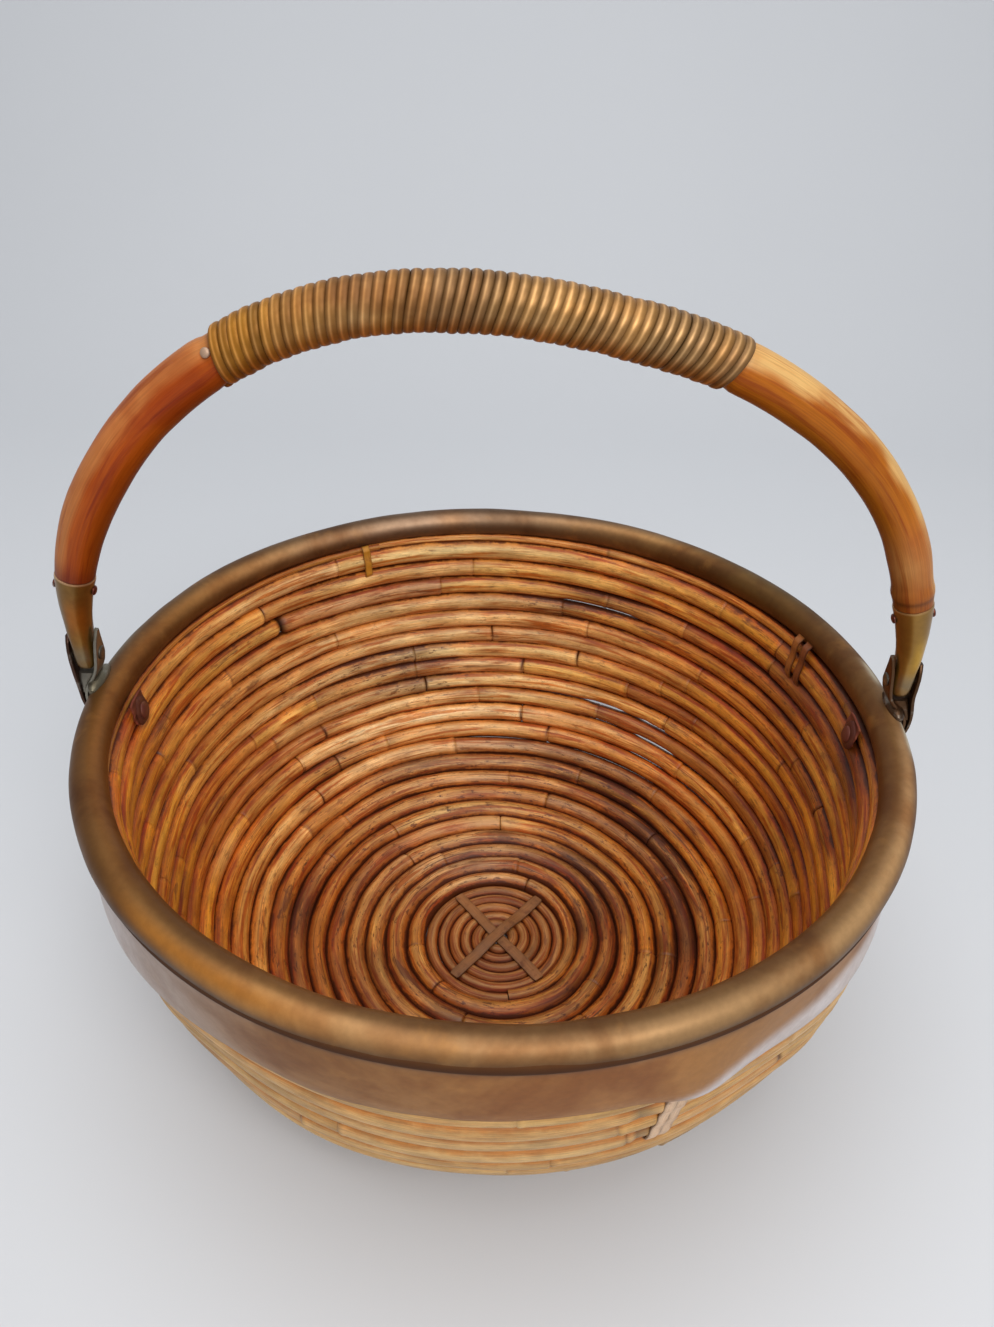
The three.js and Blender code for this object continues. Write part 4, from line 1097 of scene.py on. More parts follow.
def build_cross():
    along = np.linspace(-CROSS_LENGTH / 2, CROSS_LENGTH / 2, STRIP_STEPS)
    from_middle = np.abs(along)
    # Painted shade darkening the strips towards their edges
    edge = 1 - 0.5 * np.abs(squared_circle(16, 5)[0]) ** 6
    for over, (name, degrees, tone) in enumerate((("lower", -CROSS_DEG, 0.86), ("upper", CROSS_DEG, 0.78))):
        turn = math.radians(degrees)
        way = np.array([math.cos(turn), math.sin(turn), 0])
        side = np.array([-math.sin(turn), math.cos(turn), 0])
        lift = over * (STRIP_THICKNESS + 0.2) * (1 - ease((from_middle - CROSS_WIDTH) / (2.2 * CROSS_WIDTH)))
        ripple = 0.15 * line_noise(61 + over, 7, along)
        bow = 0.35 * line_noise(63 + over, 20, along)
        middle = np.outer(along, way) + np.outer(bow, side)
        middle[:, 2] = CORE_TOP + 0.55 + STRIP_THICKNESS / 2 + lift + ripple
        ends = np.minimum(1, 0.82 + (CROSS_LENGTH / 2 - from_middle) / 2.5)
        half_width = CROSS_WIDTH / 2 * ends * varied(0.05, 65 + over, 9, along)
        rings = sweep(middle, side, UPWARD, half_width, STRIP_THICKNESS / 2, 16, 5)
        shade = tone * (0.82 + 0.14 * line_noise(67 + over, 10, along))
        shape = Shape().tube(drifted(rings), along + 40, edged(shade, srgb(0.70, 0.46, 0.25), edge))
        shape.build(f"strip_{name}", STRIP, "basket", "split_cane", [f"base_cross_{name}"], 35)


def wall_matrix(angle, drop):
    z = RIM_HEIGHT - drop
    place = Matrix.Translation((wall_radius(z) * FACET_SHRINK, 0, z))
    return Matrix.Rotation(angle, 4, "Z") @ place @ Matrix.Rotation(WALL_LEAN, 4, "Y")


def moved(points, matrix):
    matrix = np.array(matrix)
    return np.asarray(points) @ matrix[:3, :3].T + matrix[:3, 3]


def build_tie(name, facet_deg, along, drop, side, tint, lean, rise, length):
    """A strip up the wall: along is its place on the facet, side is 1 outside the wall and -1 inside."""
    up = TIE_LENGTH / 2 + rise - np.linspace(0, length, STRIP_STEPS)
    matrix = wall_matrix(math.radians(facet_deg), drop + TIE_LENGTH / 2)
    radius = wall_radius(RIM_HEIGHT - drop)
    facet_turn = ((math.radians(facet_deg) - START_ANGLE) / TAU) % 1
    z = RIM_HEIGHT - drop - TIE_LENGTH / 2 + up * math.cos(WALL_LEAN)
    place = PROFILE_LENGTH - (WALL_TOP_LINE - z) / math.cos(WALL_LEAN)
    crest = 0.5 + 0.5 * np.cos(TAU * (place / PITCH - facet_turn))
    sideways = along + lean * up
    stand = CANE_DIAMETER / 2 * CANE_FULLNESS + STRIP_THICKNESS / 2 - 0.45 * (1 - crest)
    from_end = np.minimum(up[0] - up, up - up[-1])
    tuck = 1.4 * (1 - ease(from_end / 2.5))
    out = side * (stand - tuck) + 1.0 - sideways ** 2 / (2 * radius)
    if side > 0:
        out = out + wall_push(facet_deg + math.degrees(along / radius), z)
    middle = np.stack([out, sideways, up], -1)
    half_width = TIE_WIDTH / 2 * varied(0.06, 71, 6, up)
    rings = sweep(middle, ACROSS, OUTWARD, half_width, STRIP_THICKNESS / 2, 16, 4)
    # Painted shade darkening the tie towards its edges
    edge = 1 - 0.6 * np.abs(squared_circle(16, 4)[0]) ** 5
    tints = edged(0.95 + 0.12 * line_noise(73, 8, up), tint, edge)
    shape = Shape().tube(moved(rings, matrix), up[0] - up, tints)
    shape.build(f"strip_{name}", STRIP, "basket", "split_cane", [name], 35)


def build_ties():
    half = TIE_SPACING / 2
    pair = OUTER_TIE_SPACING / 2
    pinkish = srgb(0.90, 0.75, 0.61)
    build_tie("inner_tie_back", 126, -20, INNER_TIE_DROP, -1, srgb(0.80, 0.54, 0.16), 0, 5, 17)
    build_tie("inner_tie_right_1", 18, 8 - half, INNER_TIE_DROP, -1, srgb(0.52, 0.27, 0.10), 0.06, 8, 21)
    build_tie("inner_tie_right_2", 18, 8 + half, INNER_TIE_DROP, -1, srgb(0.64, 0.37, 0.14), 0.06, 8, 21)
    build_tie("outer_tie_front_1", -72, 18 - pair, OUTER_TIE_DROP, 1, pinkish, 0.08, 0, 42)
    build_tie("outer_tie_front_2", -72, 18 + pair, OUTER_TIE_DROP, 1, pinkish * 0.92, 0.08, 0, 42)


# Turned fittings along an axis: sections are pairs of radius and place
def turned(section, matrix, tint, sides=28, wobble=0.0):
    section = np.asarray(section, float)
    cosine, sine = circle(sides)
    uneven = 1 + wobble * round_noise(95, 9, np.arange(sides) * TAU / sides)
    rings = np.empty((len(section), sides, 3))
    rings[:, :, 0] = section[:, 1:2]
    rings[:, :, 1] = section[:, 0:1] * cosine * uneven
    rings[:, :, 2] = section[:, 0:1] * sine * uneven
    return Shape().tube(moved(rings, matrix), path_lengths(section), np.tile(tint, (len(section), 1)))


def dome(face, radius, height, way):
    """Section of a hammered rivet head that stands on a face, from its crown down to the face."""
    angles = np.linspace(0.06, 1, 9) * math.pi / 2
    section = [(radius * math.sin(a), face + way * height * (0.25 + 0.75 * math.cos(a))) for a in angles]
    section.append((radius * 0.97, face))
    return section


def rivet_section(shank, head, height, low, high):
    return dome(low, head, height, -1) + [(shank, low), (shank, high)] + dome(high, head, height, 1)[::-1]


SIDES = [("right", 0.0), ("left", math.pi)]
BAND_FACE = (BAND_TOP_RADIUS - wall_radius(BAND_TOP) * FACET_SHRINK) * math.cos(WALL_LEAN)
WASHER_FACE = -CANE_DIAMETER / 2 - 0.1
WASHER_BACK = WASHER_FACE - WASHER_THICKNESS


def build_rivet(side, wall):
    tail_back = BAND_FACE + 0.3 + 2 * STRAP_THICKNESS
    section = rivet_section(RIVET_SHANK, RIVET_HEAD / 2, RIVET_CROWN, WASHER_BACK, tail_back)
    shape = turned(section, wall, RUST, wobble=0.10)
    shape.build(f"rivet_{side}", RUSTED, "basket", "dark_steel", [f"bracket_rivet_{side}"], 40)


def build_washer(side, wall):
    """A washer over a torn scrap that reaches up to the bead."""
    edge = WASHER_DIAMETER / 2
    hole = RIVET_SHANK + 0.2
    section = [
        (hole, WASHER_FACE), (edge - 0.3, WASHER_FACE), (edge, WASHER_FACE - 0.3), (edge, WASHER_BACK + 0.4),
        (edge - 0.5, WASHER_BACK), (edge * 0.6, WASHER_BACK - 0.35), (hole, WASHER_BACK),
    ]
    shape = turned(section, wall, RUST * 0.7, wobble=0.18)
    seed = len(side)
    rise = np.linspace(-5.5, 7.0, 28)
    half_width = np.interp(rise, [-5.5, -5, -3, 0, 4, 6.5, 7], [1.6, 3.2, 5.2, 6.4, 6.6, 5.6, 4.0])
    half_width = half_width + 0.7 * line_noise(84 + seed, 1.3, rise)
    ripple = 0.4 * line_noise(86 + seed, 2.5, rise)
    middle = np.stack([WASHER_FACE + 0.1 + ripple, 0.8 * line_noise(88, 4, rise), rise], -1)
    rings = sweep(middle, ACROSS, OUTWARD, half_width, 0.5, 16, 5)
    pale_edge = 1 + 0.8 * np.abs(squared_circle(16, 5)[0]) ** 8
    shape.tube(moved(rings, wall), rise, edged(varied(0.3, 90, 1.5, rise), RUST * 1.1, pale_edge))
    shape.build(f"washer_{side}", RUSTED, "basket", "dark_steel", [f"rivet_washer_{side}"], 40)


def build_pin(side, spin):
    ear_outer = EAR_GAP + STRAP_THICKNESS + 0.3
    axle = spin @ Matrix.Translation((FOOT_X[side], 0, PIVOT_HEIGHT))
    section = rivet_section(PIN_SHANK, PIN_HEAD / 2, PIN_CROWN, -ear_outer, ear_outer)
    shape = turned(section, axle, STEEL * 0.6)
    shape.build(f"pin_{side}", IRON, "basket", "dark_steel", [f"pivot_pin_{side}"], 40)


def smooth_path(points, rounds=3):
    """Cuts the corners of a path of points, so that a strap bends instead of folding."""
    points = np.asarray(points, float)
    for _ in range(rounds):
        low = points[:-1] * 0.75 + points[1:] * 0.25
        high = points[:-1] * 0.25 + points[1:] * 0.75
        inner = np.stack([low, high], 1).reshape(-1, points.shape[1])
        points = np.vstack([points[:1], inner, points[-1:]])
    return points


def strap(corners, widths):
    """A bent strap in the XZ plane. widths are pairs of share of the length and half width."""
    path = smooth_path(corners)
    places = path_lengths(path)
    even = np.linspace(0, places[-1], STRAP_STEPS)
    zero = np.zeros(STRAP_STEPS)
    x, z = [np.interp(even, places, column) for column in path.T]
    way = np.gradient(np.stack([x, z], -1), axis=0)
    way = way / np.linalg.norm(way, axis=1)[:, None]
    middle = np.stack([x, zero, z], -1)
    across = np.stack([-way[:, 1], zero, way[:, 0]], -1)
    half_width = np.interp(even / even[-1], *np.array(widths).T)
    thick = STRAP_THICKNESS / 2 * varied(0.08, 81, 5, even)
    return sweep(middle, ACROSS, across, half_width, thick, 20, 5), even


def tail(drop, face):
    """A point of a bracket's tail, which lies along the leaning band."""
    z = RIM_HEIGHT - drop
    return (wall_radius(z) * FACET_SHRINK + face / math.cos(WALL_LEAN), z)


OUTER_LEAF = [(0, 1.2), (0.04, 2.8), (0.1, 4.2), (0.18, 5.0), (0.3, 5.4), (0.9, 5.6), (0.97, 4.6), (1, 2.8)]
INNER_LEAF = [
    (0, 0.8), (0.04, 1.8), (0.1, 3.0), (0.2, 4.4), (0.3, 4.8), (0.45, 5.4), (0.9, 5.6), (0.97, 4.6), (1, 2.8),
]


def bracket_straps(pivot, half):
    """Corners and widths of the two straps, which close in a V over the bead and run down the band."""
    near = BAND_FACE + 0.3 + STRAP_THICKNESS / 2 + 0.5
    far = near + STRAP_THICKNESS
    outside = [
        (pivot + half + 0.5, PIVOT_HEIGHT + EAR_RISE), (pivot + half, PIVOT_HEIGHT),
        (pivot + half - 0.4, PIVOT_HEIGHT - 6), (BEAD_OUTER_RADIUS + 2.8, BRACKET_FLOOR - 4),
        (BEAD_OUTER_RADIUS + 2.6, RIM_HEIGHT - 2), tail(9.5, far), tail(BRACKET_TAIL_DROP, far),
    ]
    inside = [
        (pivot - half - 1.4, PIVOT_HEIGHT + EAR_RISE + 3), (pivot - half - 0.5, PIVOT_HEIGHT + 5),
        (pivot - half, PIVOT_HEIGHT - 3), (pivot - half + 1.6, BRACKET_FLOOR + 2),
        (BEAD_OUTER_RADIUS + 0.4, BRACKET_FLOOR - 4), (BEAD_OUTER_RADIUS + 1.0, RIM_HEIGHT - 2),
        tail(9.5, near), tail(BRACKET_TAIL_DROP, near),
    ]
    return strap(outside, OUTER_LEAF), strap(inside, INNER_LEAF)


def bracket_fill(pivot, half):
    """Solder that fills the fold of the straps, up to just under the end of the tongue."""
    heights = np.linspace(BRACKET_FLOOR - 6, BRACKET_FLOOR + 2.6, 9)
    share = np.linspace(0, 1, 9)
    low_ends = [BEAD_OUTER_RADIUS + 0.6, BEAD_OUTER_RADIUS - 0.6, pivot - half + 1.2]
    low_x = np.interp(share, [0, 0.35, 1], low_ends)
    high_x = np.interp(share, [0, 1], [BEAD_OUTER_RADIUS + 2.4, pivot + half - 0.6])
    middle = np.stack([(low_x + high_x) / 2, np.zeros(9), heights], -1)
    half_y = np.interp(share, [0, 0.7, 1], [4.6, 4.6, 3.6])
    return sweep(middle, OUTWARD, ACROSS, (high_x - low_x) / 2, half_y, 20, 3.4), heights


def bracket_seam():
    """A bead of solder against the inner strap, along the crest of the rim."""
    y = np.linspace(-9, 9, 19)
    taper = np.sqrt(np.maximum(1 - (y / 9.6) ** 2, 0)) * varied(0.12, 83, 3, y)
    bent = BEAD_OUTER_RADIUS - 3.4 - y ** 2 / (2 * BEAD_OUTER_RADIUS)
    seam = np.stack([bent, y, np.full(19, RIM_HEIGHT + 6.0)], -1)
    return sweep(seam, OUTWARD, UPWARD, 3.4 * taper, 3.2 * taper, 14), y


def build_bracket(side, spin):
    """A clevis of two straps, filled below with solder, on a riveted tail."""
    half = EAR_GAP + STRAP_THICKNESS / 2
    pivot = FOOT_X[side]
    if side == "left":
        metal, shadowed, seam = STEEL, DARK_STEEL, SOLDER * 0.8
    else:
        metal, shadowed, seam = BROWN_STEEL, BROWN_STEEL * 0.7, BROWN_STEEL * 0.7
    tubes = [*bracket_straps(pivot, half), bracket_fill(pivot, half), bracket_seam()]
    shape = Shape()
    for (rings, places), tint in zip(tubes, (shadowed, metal, metal * 0.8, seam)):
        shape.tube(moved(rings, spin), places, np.tile(tint, (len(places), 1)))
    shape.build(f"clevis_{side}", IRON, "basket", "dark_steel", [f"bracket_{side}"], 40)


# Path of the handle, from the right tip over the top to the left tip
def bow_path():
    top = PIVOT_HEIGHT + TONGUE_RISE
    tip = PIVOT_HEIGHT - TONGUE_TIP
    a = np.linspace(0, math.pi, 1200)
    x = PIVOT_X * np.cos(a) - HANDLE_SKEW * np.sin(a) ** 2
    z = top + (HANDLE_RISE - TONGUE_RISE) * np.sin(a)
    offset = np.interp(np.degrees(a), *np.array(HANDLE_BENDS).T)
    window = np.hanning(121)
    offset = np.convolve(np.pad(offset, 60, "edge"), window / window.sum(), "valid")
    x = x + offset * np.cos(a) - RIGHT_INSET * (1 - ease(a / math.radians(30)))
    z = z + offset * np.sin(a)
    leg = np.linspace(tip, top, 40)
    right = np.stack([np.full(40, x[0]), leg], -1)
    left = np.stack([np.full(40, x[-1]), leg[::-1]], -1)
    return np.vstack([right[:-1], np.stack([x, z], -1), left[1:]])


BOW_PATH = bow_path()
BOW_PLACES = path_lengths(BOW_PATH)
BOW_LENGTH = BOW_PLACES[-1]
WIRE_START = (BOW_LENGTH - WRAP_TURNS * WRAP_PITCH) / 2 + WRAP_SHIFT
WIRE_END = WIRE_START + WRAP_TURNS * WRAP_PITCH


def bow_frame(distance):
    """Middle of the handle, its way along, and its way out of the bend, at distances from the right tip."""
    distance = np.clip(np.asarray(distance, float), 0, BOW_LENGTH)
    def at(place):
        place = np.clip(place, 0, BOW_LENGTH)
        return np.stack([np.interp(place, BOW_PLACES, BOW_PATH[:, axis]) for axis in range(2)], -1)
    flat = at(distance)
    way = at(distance + 0.8) - at(distance - 0.8)
    way = way / np.linalg.norm(way, axis=-1)[:, None]
    zero = np.zeros(len(distance))
    middle = np.stack([flat[:, 0], zero, flat[:, 1]], -1)
    along = np.stack([way[:, 0], zero, way[:, 1]], -1)
    out = np.stack([way[:, 1], zero, -way[:, 0]], -1)
    return middle, along, out


def bow_matrix(distance):
    """Frame whose X looks out of the bend at one place on the handle."""
    middle, _, out = bow_frame([distance])
    third = np.cross(out[0], ACROSS)
    matrix = Matrix.Identity(4)
    for row in range(3):
        matrix[row][0] = out[0][row]
        matrix[row][1] = ACROSS[row]
        matrix[row][2] = third[row]
        matrix[row][3] = middle[0][row]
    return matrix


def mirrored(distance, side):
    return distance if side == "right" else BOW_LENGTH - distance


def bow_girths():
    """Places along the bow and its radius there: thin in the ferrules, thick beside the winding."""
    neck = [(BOW_INSET, 4.4), (37, 5.6), (41.2, 5.9), (42.2, 7.0)]
    right = neck + [(52, 7.3), (64, 7.6), (82, 7.7), (108, 7.9)]
    right += [(WIRE_START - back, radius) for back, radius in ((6, 8.4), (3, 8.3), (1, 7.8))]
    left = neck + [(52, 7.5), (64, 8.1), (76, 8.5)]
    left += [(BOW_LENGTH - WIRE_END - back, radius) for back, radius in ((6, 8.6), (3, 8.3), (1, 7.8))]
    return np.array(right + [(BOW_LENGTH - place, radius) for place, radius in reversed(left)]).T


def bow_tints(stations, sides):
    """Golden on the right and deep orange on the left, with a painted highlight along the pale outer side,
    painted shade on the inner side and under the winding, red brown at the ferrules.
    """
    share = ease((stations / BOW_LENGTH - 0.2) / 0.6)
    right_tone = srgb(0.66, 0.37, 0.06)
    left_tone = srgb(0.68, 0.30, 0.02)
    tone = right_tone + (left_tone - right_tone) * share[:, None]
    tone = tone * varied(0.14, 93, 25, stations)[:, None]
    cosine, sine = circle(sides)
    # Painted highlight along the outer side of the bend, wider towards the winding
    strip = 0.22 + 0.38 * ease((WIRE_START - stations) / 70) + 0.16 * line_noise(94, 11, stations)
    pale = (0.95 - 0.7 * share)[:, None] * ease((cosine - strip[:, None]) / 0.32)
    tints = toward(tone[:, None, :], srgb(0.86, 0.69, 0.43), pale)
    # Painted shade on the inner side of the bend
    tints = tints * (1 - 0.35 * ease((-cosine - 0.2) / 0.8))[None, :, None]
    neck = 0.45 * hump(stations, NECK_PLACE, 5) + hump(stations, BOW_LENGTH - NECK_PLACE, 7)
    tints = toward(tints, srgb(0.42, 0.14, 0.04), (0.75 * neck)[:, None])
    worn = 0.55 * np.outer(hump(stations, RUBBED_PLACE, 12), ease((0.2 - sine) / 0.8))
    tints = toward(tints, srgb(0.80, 0.60, 0.36), worn)
    ring = hump(stations, NODE_PLACE - 2.4, 1.0)
    # Painted shade under the winding, where the cane shows between the turns
    covered = ease((stations - WIRE_START) / 3) * ease((WIRE_END - stations) / 3)
    tints = tints * ((1 - 0.5 * ring) * (1 - 0.6 * covered))[:, None, None]
    tints[:, :, 3] = 1
    return tints


def build_bow():
    places, radii = bow_girths()
    even = np.arange(BOW_INSET, BOW_LENGTH - BOW_INSET + 0.1, BOW_STEP)
    stations = np.unique(np.concatenate([even, places]))
    bare = ease((stations - BARE_PLACE) / 8) * ease((BOW_LENGTH - BARE_PLACE - stations) / 8)
    uneven = 0.022 * line_noise(91, 30, stations) + 0.012 * line_noise(92, 9, stations)
    radius = np.interp(stations, places, radii) * (1 + bare * uneven)
    radius = radius + 0.5 * hump(stations, NODE_PLACE, 2.4)
    middle, _, out = bow_frame(stations)
    rings = sweep(middle, out, ACROSS, radius, radius * 1.01, BOW_SIDES)
    shape = Shape().tube(rings, stations, bow_tints(stations, BOW_SIDES))
    shape.build("bent_bow", BOW, "handle", "handle_cane", ["handle_bow"], 60)


def wrap_tints(turn, below, crest_place):
    """Golden on the left, greyer in the middle and on the right, with painted light on each turn: painted
    reflection of the orange cane, orange brown below, a painted highlight along each crest, painted shade in
    the valleys.
    """
    share = np.concatenate([[0], turn / WRAP_TURNS, [1]])
    grey = srgb(0.64, 0.48, 0.29)
    gold = srgb(0.69, 0.46, 0.11)
    warm = srgb(0.62, 0.36, 0.08)
    mixture = np.clip(ease((share - 0.55) / 0.35) * 0.9 + 0.3 * line_noise(106, 0.05, share), 0, 1)
    # Painted reflection of the orange cane on the lower side of each turn
    tints = toward(grey + (gold - grey) * mixture[:, None], warm, 0.75 * below)
    uneven = 1 + 0.24 * line_noise(107, 0.021, share) + 0.10 * line_noise(108, 0.004, share)
    # Painted highlight along each crest and painted shade in the valleys between turns
    ridge = np.concatenate([hump(crest_place, 0.15, 0.19), [0, 0, 0]])
    valley = np.concatenate([np.abs(crest_place) ** 3, [0.8, 0.8, 0.8]])
    rubbed = np.outer(1 - 0.8 * below, ridge)[:, :, None] * srgb(0.36, 0.33, 0.27)
    bright = 0.78 + 0.62 * ridge - 0.34 * valley
    tints = (tints * uneven[:, None])[:, None, :] * bright[None, :, None] + rubbed
    tints[:, :, 3] = 1
    return tints


def build_wrap():
    turn = np.arange(WRAP_TURNS * WRAP_STEPS + 1) / WRAP_STEPS
    a = turn * TAU + math.pi
    cosine = np.cos(a)[:, None]
    sine = np.sin(a)[:, None]
    jitter = 0.16 * line_noise(101, 0.9, turn) + 0.06 * line_noise(102, 0.2, turn)
    middle, along, out = bow_frame(WIRE_START + WRAP_PITCH * turn + jitter - WRAP_LEAN * np.cos(a))
    radial = out * cosine + ACROSS * sine
    tangent = ACROSS * cosine - out * sine
    base = BOW_GRIP_DIAMETER / 2 + 0.4 + 0.16 * line_noise(103, 1.3, turn)
    thick = WIRE_THICKNESS * varied(0.14, 104, 1.0, turn)
    wide = WIRE_WIDTH / 2 * varied(0.10, 105, 1.1, turn)
    arc = np.linspace(0, math.pi, 21)
    shift = np.concatenate([np.cos(arc), [-0.6, 0, 0.6]])
    lift = np.concatenate([np.sin(arc) ** 0.65, [-0.25, -0.25, -0.25]])
    rings = middle[:, None, :] + along[:, None, :] * (wide[:, None] * shift)[:, :, None]
    rings = rings + radial[:, None, :] * (base[:, None] + thick[:, None] * lift)[:, :, None]
    first = rings[:1] - tangent[:1, None, :] - radial[:1, None, :]
    last = rings[-1:] + tangent[-1:, None, :] - radial[-1:, None, :]
    places = np.concatenate([[0], 3 + turn * 55, [turn[-1] * 55 + 6]])
    # Lower side of each turn, painted with the cane's reflection
    below = ease((-np.cos(np.concatenate([a[:1], a, a[-1:]])) - 0.05) / 0.8)
    shape = Shape().tube(np.concatenate([first, rings, last]), places, wrap_tints(turn, below, np.cos(arc)))
    shape.build("wound_wire", WIRE, "handle", "wrap_wire", ["handle_wrap"], 70)


# Places from the tongue's tip, half size out of the bend and half size across it
FERRULE_OUTLINE = np.array([
    (0, 0.5, 0.8), (0.2, 1.4, 2.0), (0.7, 2.2, 3.2), (1.5, 2.9, 4.2), (2.8, 3.4, 4.9), (4.5, 3.65, 5.3),
    (7, 3.7, 5.4), (10, 3.7, 5.4), (13.5, 3.8, 5.4), (16, 4.2, 5.35), (18.5, 4.7, 5.35), (21, 5.1, 5.4),
    (25, 5.55, 5.6), (29, 5.95, 5.95), (33, 6.35, 6.35), (37, 6.75, 6.75), (40.4, 7.1, 7.1),
    (41.0, 7.15, 7.15), (41.4, 7.2, 7.2), (41.8, 7.1, 7.1), (41.9, 6.9, 6.9), (41.8, 6.5, 6.5),
    (41, 6.2, 6.2), (38, 6, 6),
])
FERRULE_SIDES = 28


def build_ferrule(side):
    """Olive brass with a pale lip, a grey patch on the front of the tongue that is partly rubbed metal and
    partly painted highlight, and on the cone a warm patch on the left or a painted yellow highlight on the
    right.
    """
    places, half_out, half_across = FERRULE_OUTLINE.T
    steady = ease((places - 14) / 8)
    middle, _, out = bow_frame(mirrored(places, side))
    dents = varied(0.014, 111, 4, places)
    rings = sweep(middle, out, ACROSS, half_out * dents, half_across * dents, FERRULE_SIDES, 3.0 - steady)
    if side == "left":
        patch, patch_place, patch_way, bright, lip = RUSTY_BRASS, 25, -0.3, 1.0, 0.85
    else:
        patch, patch_place, patch_way, bright, lip = YELLOW_HIGHLIGHT_BRASS, 20, 0.7, 1.28, 0.3
    cosine, sine = circle(FERRULE_SIDES)
    shade = bright * np.interp(places, [0, 6, 12, 18, 30, 40, 42], [0.8, 1.0, 1.0, 0.9, 0.85, 0.9, 1.0])
    lobes = 1 + 0.10 * np.cos(3 * np.arange(FERRULE_SIDES) * TAU / FERRULE_SIDES)
    tints = np.outer(shade, OLIVE_BRASS)[:, None, :] * lobes[None, :, None]
    # On the right the cone's patch is a painted highlight on the side facing right and forward
    facing = patch_way * cosine - math.sqrt(1 - patch_way ** 2) * sine
    marks = (
        (patch, hump(places, patch_place, 8), ease((facing - 0.55) / 0.4), 0.8),
        (SOLDER, hump(places, 8, 3.5), ease((-sine - 0.5) / 0.4), 0.7),
        (srgb(0.84, 0.68, 0.52), ease((places - 41.2) / 0.3), np.ones(FERRULE_SIDES), lip),
    )
    for colour, rows, around, strength in marks:
        tints = toward(tints, colour, strength * np.outer(rows, around))
    tints[:, :, 3] = 1
    shape = Shape().tube(rings, path_lengths(FERRULE_OUTLINE[:, :2]), tints)
    shape.build(f"socket_{side}", SOCKET, "handle", "aged_brass", [f"ferrule_{side}"], 40)


def build_nail(side):
    section = rivet_section(NAIL_SHANK, NAIL_HEAD, NAIL_CROWN, -NAIL_REACH, NAIL_REACH)
    shape = turned(section, bow_matrix(mirrored(FERRULE_MOUTH - NAIL_DEPTH, side)), RUST, 18)
    shape.build(f"nail_{side}", IRON, "handle", "aged_brass", [f"ferrule_nail_{side}"], 40)


def build_tack(side):
    place, turn_deg = (WIRE_START - 2, 150) if side == "right" else (WIRE_END - 0.2, -60)
    matrix = bow_matrix(place) @ Matrix.Rotation(math.radians(turn_deg), 4, "Z")
    seat = BOW_GRIP_DIAMETER / 2 + 0.3
    section = [(TACK_SHANK, seat - TACK_LENGTH), (TACK_SHANK, seat)]
    section += dome(seat, TACK_HEAD, TACK_CROWN, 1)[::-1]
    shape = turned(section, matrix, srgb(0.80, 0.70, 0.62), 18)
    shape.build(f"tack_{side}", WIRE, "handle", "aged_brass", [f"wrap_tack_{side}"], 40)


# Floor, light and camera
def floor_material():
    shader = Shader("pale_floor")
    cloud = shader.noise(shader.solid_place(), 1.5, 2, 0.5)
    shader.set(
        Base_Color=shader.scaled(srgb(0.83, 0.84, 0.855), shader.range(cloud, 0.2, 0.8, 0.985, 1.015)),
        Roughness=0.6,
        Specular_IOR_Level=0.2,
    )
    return shader.material


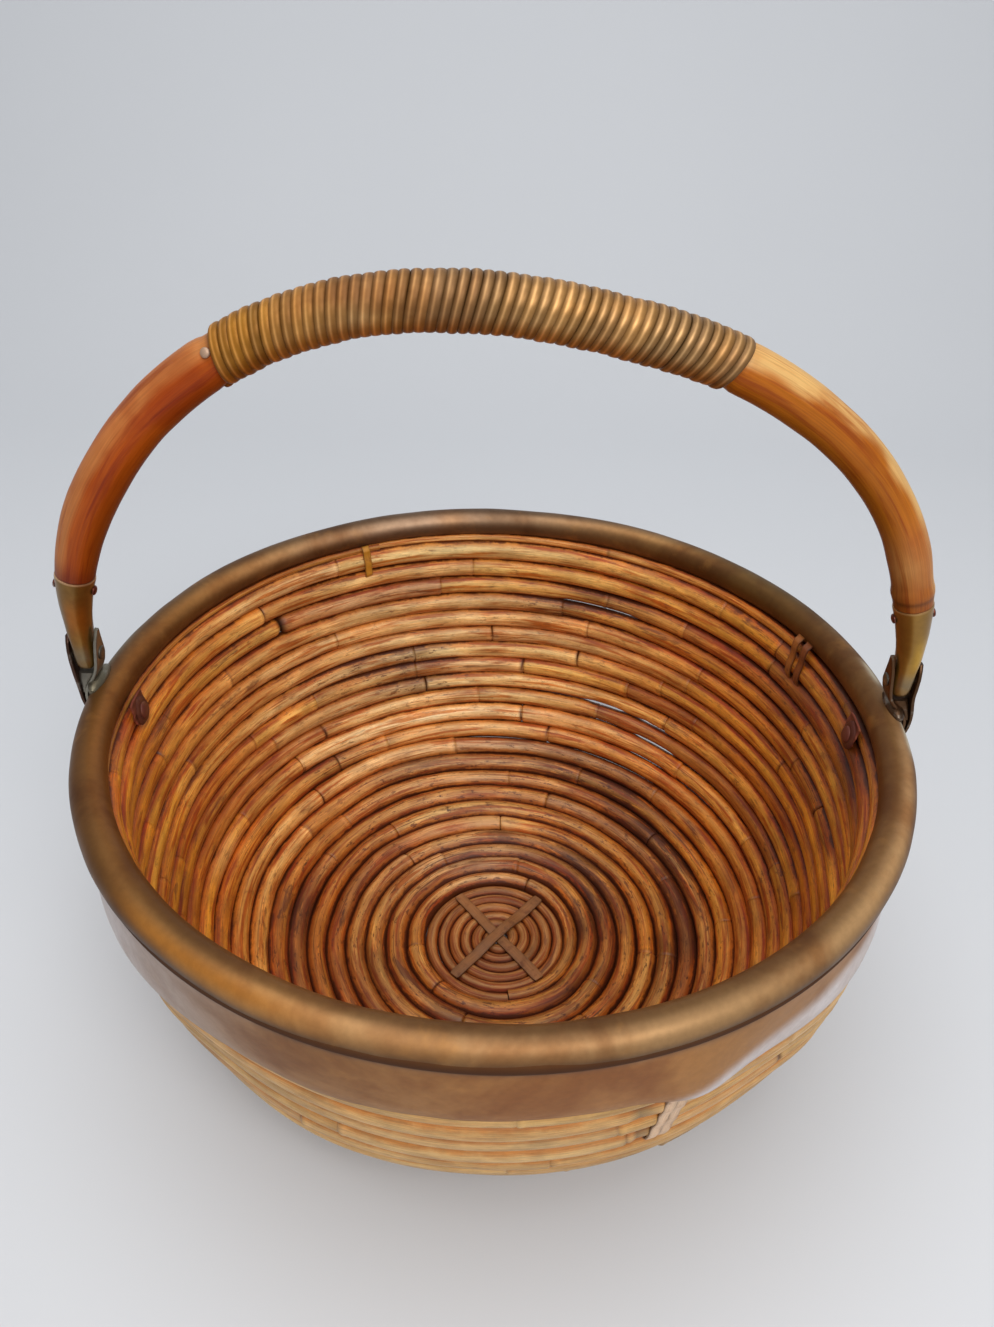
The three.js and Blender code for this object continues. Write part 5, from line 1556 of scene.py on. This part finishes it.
def build_stage():
    """A pale floor that sweeps up into a backdrop behind the basket."""
    depth = 1.1
    bend = 0.5
    half_width = 3.5
    path = [(-3.0, 0.0), (-1.0, 0.0), (0.2, 0.0), (depth - bend, 0.0)]
    for share in np.linspace(0.08, 1, 14):
        a = share * math.pi / 2
        path.append((depth - bend + bend * math.sin(a), bend - bend * math.cos(a)))
    path.append((depth, 2.6))
    points = []
    faces = []
    for y, z in path:
        points += [(-half_width, y, z), (half_width, y, z)]
    for row in range(len(path) - 1):
        faces.append((2 * row, 2 * row + 1, 2 * row + 3, 2 * row + 2))
    mesh = bpy.data.meshes.new("floor")
    mesh.from_pydata(points, [], faces)
    mesh.shade_smooth()
    mesh.materials.append(floor_material())
    floor = bpy.data.objects.new("floor", mesh)
    bpy.context.scene.collection.objects.link(floor)


def add_area(name, place, target, size, power, colour):
    data = bpy.data.lights.new(name, "AREA")
    data.shape = "DISK"
    data.size = size
    data.energy = power
    data.color = colour
    lamp = bpy.data.objects.new(name, data)
    lamp.location = place
    lamp.rotation_euler = (Vector(target) - Vector(place)).to_track_quat("-Z", "Y").to_euler()
    bpy.context.scene.collection.objects.link(lamp)


def build_light():
    world = bpy.data.worlds.new("soft_light")
    bpy.context.scene.world = world
    world.use_nodes = True
    background = world.node_tree.nodes["Background"]
    background.inputs["Color"].default_value = (0.94, 0.96, 1.0, 1)
    background.inputs["Strength"].default_value = 0.40
    add_area("key", (0.35, -1.0, 1.15), (0, 0, 0.1), 0.9, 12, (1.0, 0.98, 0.95))
    add_area("top", (-0.1, -0.1, 1.7), (0, 0, 0), 1.4, 12, (1.0, 1.0, 1.0))


def build_camera():
    forward = Vector(CAMERA_FORWARD)
    up = Vector(CAMERA_RIGHT).cross(forward).normalized()
    right = forward.cross(up).normalized()
    data = bpy.data.cameras.new("photo_view")
    data.sensor_width = SENSOR
    data.lens = FOCAL_PIXELS / PHOTO_HEIGHT * SENSOR
    camera = bpy.data.objects.new("photo_view", data)
    matrix = Matrix((right, up, -forward)).transposed().to_4x4()
    matrix.translation = Vector(CAMERA_PLACE) * MM
    camera.matrix_world = matrix
    bpy.context.scene.collection.objects.link(camera)
    bpy.context.scene.camera = camera


build_canes()
build_core()
build_hoop()
build_bead()
build_band()
build_cross()
build_ties()
for side_name, side_angle in SIDES:
    around_axis = Matrix.Rotation(side_angle, 4, "Z")
    rivet_place = wall_matrix(side_angle, RIVET_DROP)
    build_rivet(side_name, rivet_place)
    build_washer(side_name, rivet_place)
    build_pin(side_name, around_axis)
    build_bracket(side_name, around_axis)
    build_ferrule(side_name)
    build_nail(side_name)
    build_tack(side_name)
build_bow()
build_wrap()
build_stage()
build_light()
build_camera()
bpy.context.scene.view_settings.view_transform = "Standard"
